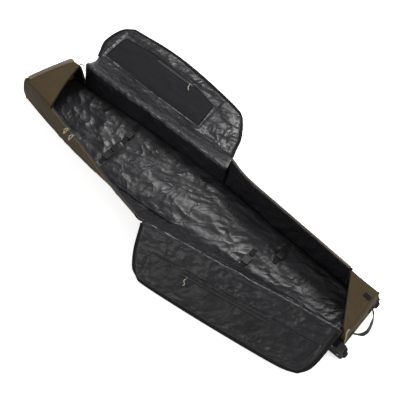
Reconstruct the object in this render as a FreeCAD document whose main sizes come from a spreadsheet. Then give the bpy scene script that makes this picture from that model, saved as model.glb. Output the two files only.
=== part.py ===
"""Wheeled ski bag lying open on its back, both lid flaps folded out to the sides.

Frame: millimetres, +X runs from the tip end to the wheel end, +Y to the far side, +Z up.
The origin is on the underside of the floor panel, at its middle.
"""
import FreeCAD, Part
import math
import os

import Sketcher

V = FreeCAD.Vector
os.makedirs("parts", exist_ok=True)
doc = FreeCAD.newDocument("SkiBag")

# ---------------------------------------------------------------- driving dimensions
DIMENSIONS = {
    "tip_end": 985,
    "wheel_end": 962,
    "end_half_width": 130,
    "near_bulge": 198,
    "far_bulge": 165,
    "wall_top": 200,
    "cap_top": 205,
    "cap_top_near": 166,
    "fabric": 6,
    "floor_fabric": 4,
    "board_thick": 3,
    "lining_thick": 3,
    "far_hinge_reach": 170,
    "far_hinge_height": 120,
    "ridge_cap_height": 172,
    "ridge_mid_height": 145,
    "flap_fabric": 4,
    "flap_trim": 1.2,
    "zip_width": 9,
    "wheel_radius": 36,
    "wheel_width": 24,
    "axle_radius": 4,
    "near_wheel_place": 966,
    "far_wheel_place": 938,
    "near_wheel_reach": 150,
    "far_wheel_reach": 122,
    "housing_width": 39,
    "pull_width": 9,
    "pull_length": 34,
    "pull_thick": 2.4,
    "pull_cord": 2.5,
    "strap_width": 25,
    "strap_thick": 1.6,
    "buckle_width": 34,
    "handle_width": 25,
}
sheet = doc.addObject("Spreadsheet::Sheet", "Dimensions")
for row, (alias, number) in enumerate(DIMENSIONS.items(), start=1):
    sheet.set(f"A{row}", alias)
    sheet.set(f"B{row}", str(number))
    sheet.setAlias(f"B{row}", alias)
doc.recompute()

SUB_PARTS = []


def dim(alias):
    """One driving dimension, in millimetres."""
    return float(sheet.get(alias))


def keep(item, label):
    """Give a sub-part its name and remember it for the export."""
    item.Label = label
    SUB_PARTS.append(item)
    return item


def shaped(label, shape, placement=None):
    """A sub-part whose surface no feature describes, such as draped cloth."""
    item = doc.addObject("Part::Feature", "Shape_" + label)
    item.Shape = shape
    if placement is not None:
        item.Placement = placement
    return keep(item, label)


# ---------------------------------------------------------------- helpers for soft walls
def wall_section(x, foot, top, thick, outward):
    """The four corners of a wall at one station; outward is +1 for the far side, -1 for the near side."""
    rise = top[1] - foot[1]
    lean = top[0] - foot[0]
    length = math.hypot(rise, lean)
    shift = (thick * outward * rise / length, -thick * outward * lean / length)
    corners = [foot, top, (top[0] + shift[0], top[1] + shift[1]), (foot[0] + shift[0], foot[1] + shift[1])]
    points = [V(x, y, z) for y, z in corners]
    return Part.makePolygon(points + points[:1])


def wall(stations, thick, outward):
    """A standing cloth wall through stations of (x, foot y, foot z, top y, top z)."""
    sections = [wall_section(x, (y0, z0), (y1, z1), thick, outward) for x, y0, z0, y1, z1 in stations]
    return Part.makeLoft(sections, True, True)


def plate(points, low, high, corners=()):
    """A flat plate with the outline given; corners is a list of (point index, radius)."""
    outline = [V(x, y, low) for x, y in points]
    solid = Part.Face(Part.makePolygon(outline + outline[:1])).extrude(V(0, 0, high - low))
    for index, radius in corners:
        corner = outline[index]
        edges = [
            edge for edge in solid.Edges
            if all(math.hypot(end.X - corner.x, end.Y - corner.y) < 0.01 for end in edge.Vertexes)
        ]
        solid = solid.makeFillet(radius, edges)
    return solid


def block(low, high):
    """A straight block between two plan outlines, each a list of (x, y, z)."""
    wires = [Part.makePolygon([V(*p) for p in outline] + [V(*outline[0])]) for outline in (low, high)]
    return Part.makeLoft(wires, True, True)


# ---------------------------------------------------------------- helpers for sketched parts
def origin_plane(body, role):
    for feature in body.Origin.OriginFeatures:
        if feature.Role == role:
            return feature
    raise ValueError(role)


def sketch_on(body, role, name, lift=None):
    """An empty sketch on one of a body's own planes, lifted by an expression when one is given."""
    sketch = body.newObject("Sketcher::SketchObject", name)
    sketch.AttachmentSupport = [(origin_plane(body, role), "")]
    sketch.MapMode = "FlatFace"
    if lift is not None:
        sketch.setExpression("AttachmentOffset.Base.z", lift)
    return sketch


def rectangle(sketch, width, height, centre=(0, 0)):
    """A rectangle about a centre; width and height are expressions bound to the sheet."""
    corners = [V(-1, -1, 0), V(1, -1, 0), V(1, 1, 0), V(-1, 1, 0)]
    corners = [V(centre[0] + 10 * p.x, centre[1] + 10 * p.y, 0) for p in corners]
    first = len(sketch.Geometry)
    for start, end in zip(corners, corners[1:] + corners[:1]):
        sketch.addGeometry(Part.LineSegment(start, end))
    for i in range(4):
        sketch.addConstraint(Sketcher.Constraint("Coincident", first + i, 2, first + (i + 1) % 4, 1))
    sketch.addConstraint(Sketcher.Constraint("Horizontal", first))
    sketch.addConstraint(Sketcher.Constraint("Horizontal", first + 2))
    sketch.addConstraint(Sketcher.Constraint("Vertical", first + 1))
    sketch.addConstraint(Sketcher.Constraint("Vertical", first + 3))
    across = sketch.addConstraint(Sketcher.Constraint("DistanceX", first, 1, first, 2, 20))
    up = sketch.addConstraint(Sketcher.Constraint("DistanceY", first + 1, 1, first + 1, 2, 20))
    left = sketch.addConstraint(Sketcher.Constraint("DistanceX", -1, 1, first, 1, corners[0].x))
    foot = sketch.addConstraint(Sketcher.Constraint("DistanceY", -1, 1, first, 1, corners[0].y))
    sketch.setExpression(f"Constraints[{across}]", width)
    sketch.setExpression(f"Constraints[{up}]", height)
    sketch.setExpression(f"Constraints[{left}]", f"{centre[0]} - ({width}) / 2")
    sketch.setExpression(f"Constraints[{foot}]", f"{centre[1]} - ({height}) / 2")


def circle(sketch, radius, centre=(0, 0)):
    """A circle about a fixed centre; radius is an expression bound to the sheet."""
    index = sketch.addGeometry(Part.Circle(V(centre[0], centre[1], 0), V(0, 0, 1), 10))
    sketch.addConstraint(Sketcher.Constraint("DistanceX", -1, 1, index, 3, centre[0]))
    sketch.addConstraint(Sketcher.Constraint("DistanceY", -1, 1, index, 3, centre[1]))
    size = sketch.addConstraint(Sketcher.Constraint("Radius", index, 10))
    sketch.setExpression(f"Constraints[{size}]", radius)


def outline(sketch, points):
    """A closed outline of straight runs through fixed points."""
    corners = [V(x, y, 0) for x, y in points]
    for i, (start, end) in enumerate(zip(corners, corners[1:] + corners[:1])):
        sketch.addGeometry(Part.LineSegment(start, end))
        sketch.addConstraint(Sketcher.Constraint("DistanceX", -1, 1, i, 1, start.x))
        sketch.addConstraint(Sketcher.Constraint("DistanceY", -1, 1, i, 1, start.y))
    for i in range(len(corners)):
        sketch.addConstraint(Sketcher.Constraint("Coincident", i, 2, (i + 1) % len(corners), 1))


def padded(body, sketch, length, name="Pad"):
    """Pad a sketch by an expression."""
    pad = body.newObject("PartDesign::Pad", name)
    pad.Profile = sketch
    pad.setExpression("Length", length)
    return pad


def pocketed(body, sketch, length, reverse=False, name="Pocket"):
    """Pocket a sketch by an expression, and make sure that it removed something."""
    doc.recompute()
    before = body.Shape.Volume
    pocket = body.newObject("PartDesign::Pocket", name)
    pocket.Profile = sketch
    pocket.setExpression("Length", length)
    pocket.Reversed = reverse
    doc.recompute()
    if body.Shape.Volume > before - 1:
        raise RuntimeError(f"{body.Name}: {name} removed nothing")
    return pocket


def new_body(label):
    return keep(doc.addObject("PartDesign::Body", "Body_" + label), label)


def plate_body(label, points, lift, length):
    """A flat panel cut to an outline: one sketch and one pad."""
    body = new_body(label)
    sketch = sketch_on(body, "XY_Plane", "Outline_" + label, lift)
    outline(sketch, points)
    padded(body, sketch, length, "Panel_" + label)
    return body


# ---------------------------------------------------------------- floor
HALF = dim("end_half_width")
NEAR = dim("near_bulge")
FAR = dim("far_bulge")
# The floor is widest near the middle, where the bindings of the skis sit.
NEAR_EDGE = [(-975, HALF - 12), (-760, 158), (-450, NEAR), (-200, NEAR), (60, 166), (420, 142), (838, HALF)]
FAR_EDGE = [(-870, HALF - 8), (-780, HALF), (-400, 152), (0, FAR), (400, 142), (838, HALF)]


def floor_outline(inset):
    """The floor's plan, drawn in by an inset, near edge first."""
    near = [(x, -(y - inset)) for x, y in NEAR_EDGE]
    far = [(x, y - inset) for x, y in FAR_EDGE]
    return near + far[::-1]


plate_body("floor_panel", floor_outline(0), None, "Dimensions.floor_fabric")
skid = new_body("skid_plate")
skid_sketch = sketch_on(skid, "XY_Plane", "SkidOutline")
rectangle(skid_sketch, "120", "2 * Dimensions.end_half_width - 64", (900, 0))
padded(skid, skid_sketch, "Dimensions.floor_fabric + 1", "SkidPad")

board = new_body("base_board")
board_sketch = sketch_on(board, "XY_Plane", "BoardOutline", "Dimensions.floor_fabric + 0.2")
rectangle(board_sketch, "770", "2 * Dimensions.end_half_width - 44", (450, 0))
padded(board, board_sketch, "Dimensions.board_thick", "BoardPad")

foam = new_body("tip_foam")
foam_sketch = sketch_on(foam, "XY_Plane", "FoamOutline", "Dimensions.floor_fabric + 0.2")
rectangle(foam_sketch, "880", "2 * Dimensions.end_half_width - 44", (-390, 0))
padded(foam, foam_sketch, "Dimensions.board_thick", "FoamPad")

LINING_LIFT = "Dimensions.floor_fabric + Dimensions.board_thick + 0.5"
lining = new_body("floor_lining")
lining_sketch = sketch_on(lining, "XY_Plane", "LiningOutline", LINING_LIFT)
LINING_INSET = 21
outline(lining_sketch, [(-925, -95)] + [(x, -(y - LINING_INSET)) for x, y in NEAR_EDGE[1:]]
        + [(x, y - LINING_INSET) for x, y in FAR_EDGE[:0:-1]] + [(-852, 94)])
padded(lining, lining_sketch, "Dimensions.lining_thick", "LiningPad")

# ---------------------------------------------------------------- standing walls
FABRIC = dim("fabric")
TOP = dim("wall_top")
FOOT = dim("floor_fabric") + 0.5
HINGE_Y = dim("far_hinge_reach")
HINGE_Z = dim("far_hinge_height")
# station: x, foot y, foot z, top y, top z
NEAR_TIP_WALL = [
    (-736, -156, FOOT, -140, TOP),
    (-600, -178, FOOT, -171, TOP - 3.8),
    (-450, -192, FOOT, -205, TOP - 8),
    (-280, -192, FOOT, -246, TOP - 40),
    (-112, -182, FOOT, -272, TOP - 68),
]
FAR_TIP_WALL = [
    (-790, 124, FOOT, 158, HINGE_Z - 8),
    (-400, 146, FOOT, 160, HINGE_Z - 8),
    (56, 158, FOOT, 164, HINGE_Z - 8),
]
FAR_WHEEL_WALL = [
    (64, 156, FOOT, 196, TOP),
    (180, 150, FOOT, 166, TOP),
    (420, 136, FOOT, 148, TOP),
    (790, 124, FOOT, 122, TOP),
]
UNDER_WALLS = Part.makeBox(2400, 800, 40, V(-1200, -400, FOOT - 0.3 - 40))
for label, stations, outward in (
    ("near_tip_wall", NEAR_TIP_WALL, -1),
    ("far_tip_wall", FAR_TIP_WALL, 1),
    ("far_wheel_wall", FAR_WHEEL_WALL, 1),
):
    shaped(label, wall(stations, FABRIC, outward).cut(UNDER_WALLS))

# ---------------------------------------------------------------- near wall of the wheel half
# The wall folds along a diagonal crease. Below the crease it stays with the floor; above it, it lays out.
CREASE_FOOT = V(-60, -175, FOOT)
RIDGE_CAP = V(930, -115, dim("ridge_cap_height"))
RIDGE_MID = V(-60, -280, dim("ridge_mid_height"))
FLOOR_CORNER = V(930, -HALF, FOOT)


def triangle(corners, inset, thick, outward):
    """A flat cloth triangle with its edges drawn in, thickened towards the outward side."""
    normal = (corners[1] - corners[0]).cross(corners[2] - corners[0]).normalize()
    if normal.dot(outward) < 0:
        normal = normal * -1
    wire = Part.makePolygon(corners + corners[:1])
    smaller = wire.makeOffset2D(-inset) if inset else wire
    face = Part.Face(smaller)
    return face.extrude(normal * thick)


# Each wheel has its own short axle in its own housing; the soft end is not square, so the two differ.
WHEEL_SPOTS = {
    "near": (-1, dim("near_wheel_place"), dim("near_wheel_reach")),
    "far": (1, dim("far_wheel_place"), dim("far_wheel_reach")),
}
HOUSING = dim("housing_width")


def wheel_notch(end_name):
    """The room that a wheel housing takes out of the lower corner of the wheel end."""
    sign, place, reach = WHEEL_SPOTS[end_name]
    depth = HOUSING + 30
    start = reach - HOUSING / 2 - 1
    return Part.makeBox(118, depth, 101, V(place - 84, start if sign > 0 else -start - depth, -2))


OUTWARD = V(0, -1, -0.2)
gusset = triangle([CREASE_FOOT, FLOOR_CORNER, RIDGE_CAP], 4, FABRIC - 2, OUTWARD)
shaped("near_wall_gusset", gusset.cut(wheel_notch("near")))
shaped("near_wheel_wall", triangle([CREASE_FOOT, RIDGE_CAP, RIDGE_MID], 7, FABRIC - 2, OUTWARD))

# ---------------------------------------------------------------- far flap
# It leaves the fold, drops to the floor and lies flat there, with a rounded outer edge.
FLAP = dim("flap_fabric")
TRIM = dim("flap_trim")
FLAT_START = 282
FAR_OUTLINE = [
    (-784, HINGE_Y - 20),
    (-786, 258),
    (-850, 296),
    (-896, 372),
    (-868, 478),
    (-812, 528),
    (-600, 540),
    (-400, 533),
    (-120, 497),
    (-48, 430),
    (-12, 335),
    (58, HINGE_Y - 20),
]
FAR_ROUND = [(3, 40), (4, 40), (5, 60), (8, 60), (9, 40)]


def flap_profile(low, high, reach=600, start=8):
    """The flap's section from the fold outwards, between two heights above the laid surface."""
    drop_length = math.hypot(FLAT_START - HINGE_Y, HINGE_Z - 4)
    down = V(0, (FLAT_START - HINGE_Y) / drop_length, -(HINGE_Z - 4) / drop_length)
    normal = V(0, -down.z, down.y)
    fold = V(-900, HINGE_Y, HINGE_Z)
    knee_shift = math.tan(math.acos(down.y) / 2)
    knee = V(-900, FLAT_START, 4)
    points = [
        fold + down * start + normal * low,
        V(-900, knee.y - low * -knee_shift, 4 + low),
        V(-900, reach, 4 + low),
        V(-900, reach, 4 + high),
        V(-900, knee.y + high * knee_shift, 4 + high),
        fold + down * start + normal * high,
    ]
    face = Part.Face(Part.makePolygon(points + points[:1]))
    return face.extrude(V(1000, 0, 0))


def far_flap_layer(low, high, points, rounds=()):
    cutter = plate(points, -50, 300, rounds)
    return flap_profile(low, high).common(cutter)


shaped("far_flap_shell", far_flap_layer(-3.4, -3.4 + FLAP, FAR_OUTLINE, FAR_ROUND))
FAR_PANEL = [(-838, 306), (-826, 452), (-640, 474), (-400, 466), (-245, 440), (-228, 312)]
shaped("far_flap_pocket", far_flap_layer(0.8, 0.8 + TRIM, FAR_PANEL))

# ---------------------------------------------------------------- near flap
# A flat cloth panel from the ridge of the near wall down to the floor, built in its own plane:
# local x runs along the ridge from the cap to the middle, local y down the slope.
ridge = (RIDGE_MID - RIDGE_CAP).normalize()
LAY_REACH = 215
LAY_HEIGHT = 5
side = V(ridge.y, -ridge.x, 0).normalize()
if side.y > 0:
    side = side * -1
lay_point = RIDGE_MID + side * LAY_REACH
lay_point.z = LAY_HEIGHT
flap_normal = (RIDGE_CAP - RIDGE_MID).cross(lay_point - RIDGE_MID).normalize()
if flap_normal.z < 0:
    flap_normal = flap_normal * -1
down_slope = flap_normal.cross(ridge)
if down_slope.z > 0:
    down_slope = down_slope * -1
# local z completes a right-handed set with local x and y, and points below the cloth
local_z = ridge.cross(down_slope)
FLAP_FRAME = FreeCAD.Placement(FreeCAD.Matrix(
    ridge.x, down_slope.x, local_z.x, RIDGE_CAP.x,
    ridge.y, down_slope.y, local_z.y, RIDGE_CAP.y,
    ridge.z, down_slope.z, local_z.z, RIDGE_CAP.z,
    0, 0, 0, 1))
UP_SIGN = 1 if local_z.z > 0 else -1
RIDGE_LENGTH = (RIDGE_MID - RIDGE_CAP).Length
# distance along the ridge from the cap, distance down the slope
NEAR_OUTLINE = [
    (8, 8),
    (22, 130),
    (48, 215),
    (92, 262),
    (200, 275),
    (560, 268),
    (870, 252),
    (948, 218),
    (975, 150),
    (RIDGE_LENGTH - 4, 8),
]
NEAR_ROUND = [(2, 40), (3, 60), (6, 60), (7, 40)]


def near_flap_layer(low, high, points, rounds=()):
    """A layer of the near flap between two heights above its mid surface."""
    ends = sorted((UP_SIGN * low, UP_SIGN * high))
    return plate(points, ends[0], ends[1], rounds)


shaped("near_flap_shell", near_flap_layer(-FLAP / 2, FLAP / 2, NEAR_OUTLINE, NEAR_ROUND), FLAP_FRAME)
NEAR_PANEL = [(60, 110), (110, 225), (560, 232), (860, 215), (905, 110)]
shaped("near_flap_pocket", near_flap_layer(FLAP / 2 + 0.3, FLAP / 2 + 0.3 + TRIM, NEAR_PANEL), FLAP_FRAME)
doc.recompute()

# ---------------------------------------------------------------- end caps
CAP_TOP = dim("cap_top")
CAP_LOW = dim("cap_top_near")


def cap(label, outer_low, outer_top, inner_low, inner_top, rounds, notches=()):
    """A padded end cap: a rounded outer block, less an inner block that runs out of the mouth."""
    outer = block(outer_low, outer_top)
    edges = []
    for start, end in rounds:
        for edge in outer.Edges:
            ends = [vertex.Point for vertex in edge.Vertexes]
            forward = (ends[0] - V(*start)).Length + (ends[1] - V(*end)).Length
            backward = (ends[1] - V(*start)).Length + (ends[0] - V(*end)).Length
            if min(forward, backward) < 0.02:
                edges.append(edge)
    hollow = outer.makeFillet(14, edges).cut(block(inner_low, inner_top))
    for notch in notches:
        hollow = hollow.cut(notch)
    return shaped(label, hollow)


TIP_LOW = [(-970, -114, FOOT), (-866, 118, FOOT), (-795, 122, FOOT), (-740, -156, FOOT)]
TIP_TOP = [(-940, -106, CAP_TOP), (-850, 110, CAP_TOP), (-800, 116, CAP_TOP), (-752, -136, CAP_TOP)]
TIP_INNER_LOW = [(-956, -106, -1), (-859, 110, -1), (-780, 113, -1), (-726, -148, -1)]
TIP_INNER_TOP = [(-927, -98, CAP_TOP - 7), (-844, 102, CAP_TOP - 7), (-785, 108, CAP_TOP - 7),
                 (-738, -128, CAP_TOP - 7)]
cap("tip_cap", TIP_LOW, TIP_TOP, TIP_INNER_LOW, TIP_INNER_TOP,
    [(TIP_TOP[0], TIP_TOP[1]), (TIP_LOW[0], TIP_TOP[0]), (TIP_LOW[1], TIP_TOP[1])])


def sloped(points, lower=0):
    """Plan points on the sloping top of the wheel cap, which is lower on its near side."""
    rise = (CAP_TOP - CAP_LOW) / 232
    return [(x, y, CAP_LOW + (y + 116) * rise - lower) for x, y in points]


WHEEL_FOOT = dim("floor_fabric") + 1.5
WHEEL_LOW = [(x, y, WHEEL_FOOT) for x, y in [(935, -128), (962, -124), (962, 124), (797, 127)]]
WHEEL_TOP = sloped([(935, -116), (950, -112), (950, 112), (797, 118)])
WHEEL_INNER_LOW = [(x, y, -1) for x, y in [(920, -121), (955, -117), (955, 117), (782, 120)]]
WHEEL_INNER_TOP = sloped([(920, -109), (943, -105), (943, 105), (782, 111)], 7)
cap("wheel_cap", WHEEL_LOW, WHEEL_TOP, WHEEL_INNER_LOW, WHEEL_INNER_TOP,
    [(WHEEL_TOP[2], WHEEL_TOP[3]), (WHEEL_LOW[2], WHEEL_TOP[2])], [wheel_notch("near"), wheel_notch("far")])

# ---------------------------------------------------------------- zip tapes
ZIP = dim("zip_width")


def edge_tape(label, stations, lift, outward):
    """A zip tape standing on a wall's top edge, in line with the wall."""
    rows = []
    for x, foot_y, foot_z, top_y, top_z in stations:
        length = math.hypot(top_y - foot_y, top_z - foot_z)
        along = ((top_y - foot_y) / length, (top_z - foot_z) / length)
        low = (top_y + along[0] * lift, top_z + along[1] * lift)
        rows.append((x, low[0], low[1], low[0] + along[0] * ZIP, low[1] + along[1] * ZIP))
    return shaped(label, wall(rows, 2, outward))


edge_tape("near_wall_zip_tape", NEAR_TIP_WALL, 0.6, -1)
edge_tape("far_wall_zip_tape", FAR_WHEEL_WALL, 0.6, 1)

FAR_TAPE_INNER = [(-830, 280), (-872, 372), (-850, 468), (-805, 512), (-600, 524), (-400, 517),
                  (-130, 482), (-66, 424), (-30, 280)]
shaped("far_flap_zip_tape", far_flap_layer(0.8, 0.8 + TRIM, FAR_OUTLINE[2:11]).cut(
    far_flap_layer(0, 4, FAR_TAPE_INNER)))
NEAR_TAPE_INNER = [(20, -20), (38, 128), (62, 206), (104, 247), (200, 259), (560, 252), (862, 237),
                   (934, 208), (960, 148), (RIDGE_LENGTH - 22, -20)]
shaped("near_flap_zip_tape", near_flap_layer(FLAP / 2 + 0.3, FLAP / 2 + 0.3 + TRIM, NEAR_OUTLINE, []).cut(
    near_flap_layer(0, 8, NEAR_TAPE_INNER)), FLAP_FRAME)

# ---------------------------------------------------------------- zip sliders and their pulls


def slider(label, width, length, thick, placement):
    """A zip slider: a small block with its long edges rounded."""
    body = new_body(label)
    sketch = sketch_on(body, "XY_Plane", "Plan_" + label)
    rectangle(sketch, length, width)
    pad = padded(body, sketch, thick, "Body_of_" + label)
    doc.recompute()
    upright = [f"Edge{i + 1}" for i, edge in enumerate(pad.Shape.Edges)
               if abs(edge.tangentAt(edge.FirstParameter).z) > 0.9]
    fillet = body.newObject("PartDesign::Fillet", "Round_" + label)
    fillet.Base = (pad, upright)
    fillet.Radius = 1.5
    body.Placement = placement
    return body


RUN_START = V(-736, -140, TOP)
RUN_END = V(-450, -205, TOP - 8)
run = (RUN_END - RUN_START).normalize()
TAPE_TOP = 11
PULL_CORD = dim("pull_cord")


def on_run(x):
    """The point on the top of the near wall's straight zip run at this x."""
    return RUN_START + run * ((x - RUN_START.x) / run.x) + V(0, 0, TAPE_TOP)


run_turn = FreeCAD.Rotation(V(1, 0, 0), run)
for name, x in (("near_slider_a", -600), ("near_slider_b", -560)):
    spot = on_run(x)
    slider(name, "8", "16", "4", FreeCAD.Placement(spot, run_turn))
    loop = doc.addObject("Part::Cut", "Loop_" + name)
    plate_box = doc.addObject("Part::Box", "Plate_" + name)
    plate_box.setExpression("Length", "Dimensions.pull_width")
    plate_box.setExpression("Width", "Dimensions.pull_length")
    plate_box.setExpression("Height", "Dimensions.pull_thick")
    gap = doc.addObject("Part::Box", "Gap_" + name)
    gap.setExpression("Length", "Dimensions.pull_width - 2 * Dimensions.pull_cord")
    gap.setExpression("Width", "Dimensions.pull_length - 8")
    gap.setExpression("Height", "Dimensions.pull_thick + 4")
    gap.Placement.Base = V(PULL_CORD, 4, -2)
    loop.Base = plate_box
    loop.Tool = gap
    outward_down = FreeCAD.Rotation(run_turn.multVec(V(1, 0, 0)), -210)
    loop.Placement = FreeCAD.Placement(spot + V(-4.5, -5.5, 3.4), outward_down.multiply(run_turn))
    keep(loop, name + "_pull")

plate_low = 0.8 + TRIM + 0.3
FAR_ZIP = [(-620, 455), (-620, 463), (-390, 463), (-390, 455)]
shaped("far_pocket_zip", far_flap_layer(plate_low, plate_low + 1, FAR_ZIP))
far_slider_spot = V(-408, 459, 4 + plate_low + 1.4)
slider("far_pocket_slider", "7", "12", "3", FreeCAD.Placement(far_slider_spot, FreeCAD.Rotation()))
POCKET_ROW = 126
near_zip_low = FLAP / 2 + 0.3 + TRIM + 0.3
shaped("near_pocket_zip", near_flap_layer(near_zip_low, near_zip_low + 1,
       [(300, POCKET_ROW - 4), (300, POCKET_ROW + 4), (740, POCKET_ROW + 4), (740, POCKET_ROW - 4)]), FLAP_FRAME)
near_slider_lift = UP_SIGN * (near_zip_low + 1.4) - (3 if UP_SIGN < 0 else 0)
slider("near_pocket_slider", "7", "12", "3", FLAP_FRAME.multiply(
    FreeCAD.Placement(V(706, POCKET_ROW, near_slider_lift), FreeCAD.Rotation())))

# ---------------------------------------------------------------- wheels
RADIUS = dim("wheel_radius")
WIDTH = dim("wheel_width")
AXLE = dim("axle_radius")
AXLE_HEIGHT = RADIUS + 1
HUB = 26
BEARING = 11
BEARING_WIDTH = 7


def ring(inner, outer, start, end, centre_x=0.0, centre_z=0.0):
    """A plain ring about the Y direction."""
    outside = Part.makeCylinder(outer, end - start, V(centre_x, start, centre_z), V(0, 1, 0))
    return outside.cut(Part.makeCylinder(inner, end - start, V(centre_x, start, centre_z), V(0, 1, 0)))


def turned(label, points, placement):
    """A body of revolution about its own X axis, from points of (along, radius)."""
    body = new_body(label)
    sketch = sketch_on(body, "XY_Plane", "Section_" + label)
    outline(sketch, points)
    revolution = body.newObject("PartDesign::Revolution", "Turn_" + label)
    revolution.Profile = sketch
    revolution.ReferenceAxis = (sketch, ["H_Axis"])
    revolution.Angle = 360
    body.Placement = placement
    return body


axle_solids = []
spacer_solids = []
rivet_solids = []
for end_name, (sign, place, reach) in WHEEL_SPOTS.items():
    centre = V(place, sign * reach, AXLE_HEIGHT)
    stand = FreeCAD.Placement(centre, FreeCAD.Rotation(V(0, 0, 1), 90))
    half = WIDTH / 2
    turned(f"{end_name}_wheel_hub", [
        (-half + 1, BEARING + 0.02), (-half + 1, HUB), (half - 1, HUB), (half - 1, BEARING + 0.02),
        (half - 1 - BEARING_WIDTH, BEARING + 0.02), (half - 1 - BEARING_WIDTH, BEARING - 3),
        (-half + 1 + BEARING_WIDTH, BEARING - 3), (-half + 1 + BEARING_WIDTH, BEARING + 0.02)], stand)
    turned(f"{end_name}_wheel_tyre", [
        (-half, HUB + 0.05), (-half, RADIUS - 4), (-half + 2, RADIUS - 1.2), (-half + 6, RADIUS),
        (half - 6, RADIUS), (half - 2, RADIUS - 1.2), (half, RADIUS - 4), (half, HUB + 0.05)], stand)
    bearings = Part.makeCompound([
        ring(AXLE + 0.05, BEARING, centre.y - half + 1, centre.y - half + 1 + BEARING_WIDTH - 0.1,
             centre.x, centre.z),
        ring(AXLE + 0.05, BEARING, centre.y + half - 1 - BEARING_WIDTH + 0.1, centre.y + half - 1,
             centre.x, centre.z)])
    shaped(f"{end_name}_wheel_bearings", bearings)
    outer_face = sign * (reach + 20)
    inwards = V(0, -sign, 0)
    head = Part.makeCylinder(7, 2.2, V(centre.x, outer_face + sign * 2.2, centre.z), inwards)
    pin = Part.makeCylinder(AXLE, 40.6, V(centre.x, outer_face + sign * 2, centre.z), inwards)
    axle_solids.append(head.fuse(pin))
    for start in (-half - 1.6, half + 0.3):
        low = centre.y + start
        spacer_solids.append(ring(AXLE + 0.05, 6.5, low, low + 1.3, centre.x, centre.z))

    housing = new_body(f"{end_name}_wheel_housing")
    side_view = sketch_on(housing, "XZ_Plane", f"Side_{end_name}_housing")
    outline(side_view, [(-80, 2), (-82, 62), (-60, 92), (-16, 97), (12, 88), (24, 62), (25, 22), (18, 2)])
    pad = padded(housing, side_view, "Dimensions.housing_width", f"Block_{end_name}_housing")
    pad.Reversed = sign > 0
    well = sketch_on(housing, "XZ_Plane", f"Well_{end_name}_housing")
    outline(well, [(-43, -6), (-43, 50), (-26, 78), (0, 80), (34, 80), (34, -6)])
    well.AttachmentOffset.Base = V(0, 0, 5 if sign < 0 else -5)
    pocketed(housing, well, "29", sign < 0, f"Cut_{end_name}_housing")
    bore = sketch_on(housing, "XZ_Plane", f"Bore_{end_name}_housing")
    circle(bore, "Dimensions.axle_radius + 0.05", (0, AXLE_HEIGHT))
    pocketed(housing, bore, "60", sign < 0, f"Drill_{end_name}_housing")
    housing.Placement.Base = V(place, sign * (reach - HOUSING / 2 + 0.5), 0)
    for x, z in ((-70, 20), (-70, 60), (-38, 88)):
        rivet_solids.append(Part.makeCylinder(4, 1.6, V(place + x, outer_face + sign * 0.2, z), V(0, sign, 0)))
shaped("wheel_axles", Part.makeCompound(axle_solids))
shaped("axle_spacers", Part.makeCompound(spacer_solids))
shaped("housing_rivets", Part.makeCompound(rivet_solids))

# ---------------------------------------------------------------- grab handle on the wheel end
HANDLE_WIDTH = dim("handle_width")
HANDLE_Z = 92
HANDLE_INSIDE = [(966, -66), (1002, -42), (1006, -18), (998, 18), (984, 52), (966, 70)]
HANDLE_OUTSIDE = [(966, -71), (1005, -45), (1010, -17), (1002, 20), (988, 55), (970, 74)]


def strip_loop(inside, outside, low, high):
    """Webbing bent in plan, between an inner and an outer line."""
    points = [V(x, y, low) for x, y in inside + outside[::-1]]
    return Part.Face(Part.makePolygon(points + points[:1])).extrude(V(0, 0, high - low))


# The loop's ends are rounded about the swing axis, which stands half a webbing width off the anchors.
SWING_X = 977.3
loop = strip_loop(HANDLE_INSIDE, HANDLE_OUTSIDE, HANDLE_Z - HANDLE_WIDTH / 2, HANDLE_Z + HANDLE_WIDTH / 2)
beyond = Part.makeBox(200, 400, 200, V(SWING_X, -200, 0))
rounding = Part.makeCylinder(HANDLE_WIDTH / 2, 400, V(SWING_X, -200, HANDLE_Z), V(0, 1, 0))
shaped("end_handle_webbing", loop.common(beyond.fuse(rounding)))
anchor_boxes = [Part.makeBox(3, 34, 34, V(961.5, y - 17, HANDLE_Z - 17)) for y in (-68, 72)]
shaped("handle_anchors", Part.makeCompound(anchor_boxes))

# ---------------------------------------------------------------- straps inside, with side-release buckles
STRAP = dim("strap_width")
STRAP_THICK = dim("strap_thick")
BUCKLE = dim("buckle_width")
LAY = dim("floor_fabric") + dim("board_thick") + 0.5 + dim("lining_thick") + 0.5


def ribbon(points, width, thick, x):
    """Webbing along a line in the YZ plane, centred on x."""
    sections = []
    for i, (y, z) in enumerate(points):
        before = points[max(i - 1, 0)]
        after = points[min(i + 1, len(points) - 1)]
        length = math.hypot(after[0] - before[0], after[1] - before[1])
        up = (-(after[1] - before[1]) / length * thick, (after[0] - before[0]) / length * thick)
        corners = [V(x - width / 2, y, z), V(x + width / 2, y, z),
                   V(x + width / 2, y + up[0], z + up[1]), V(x - width / 2, y + up[0], z + up[1])]
        sections.append(Part.makePolygon(corners + corners[:1]))
    return Part.makeLoft(sections, True, True)


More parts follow.
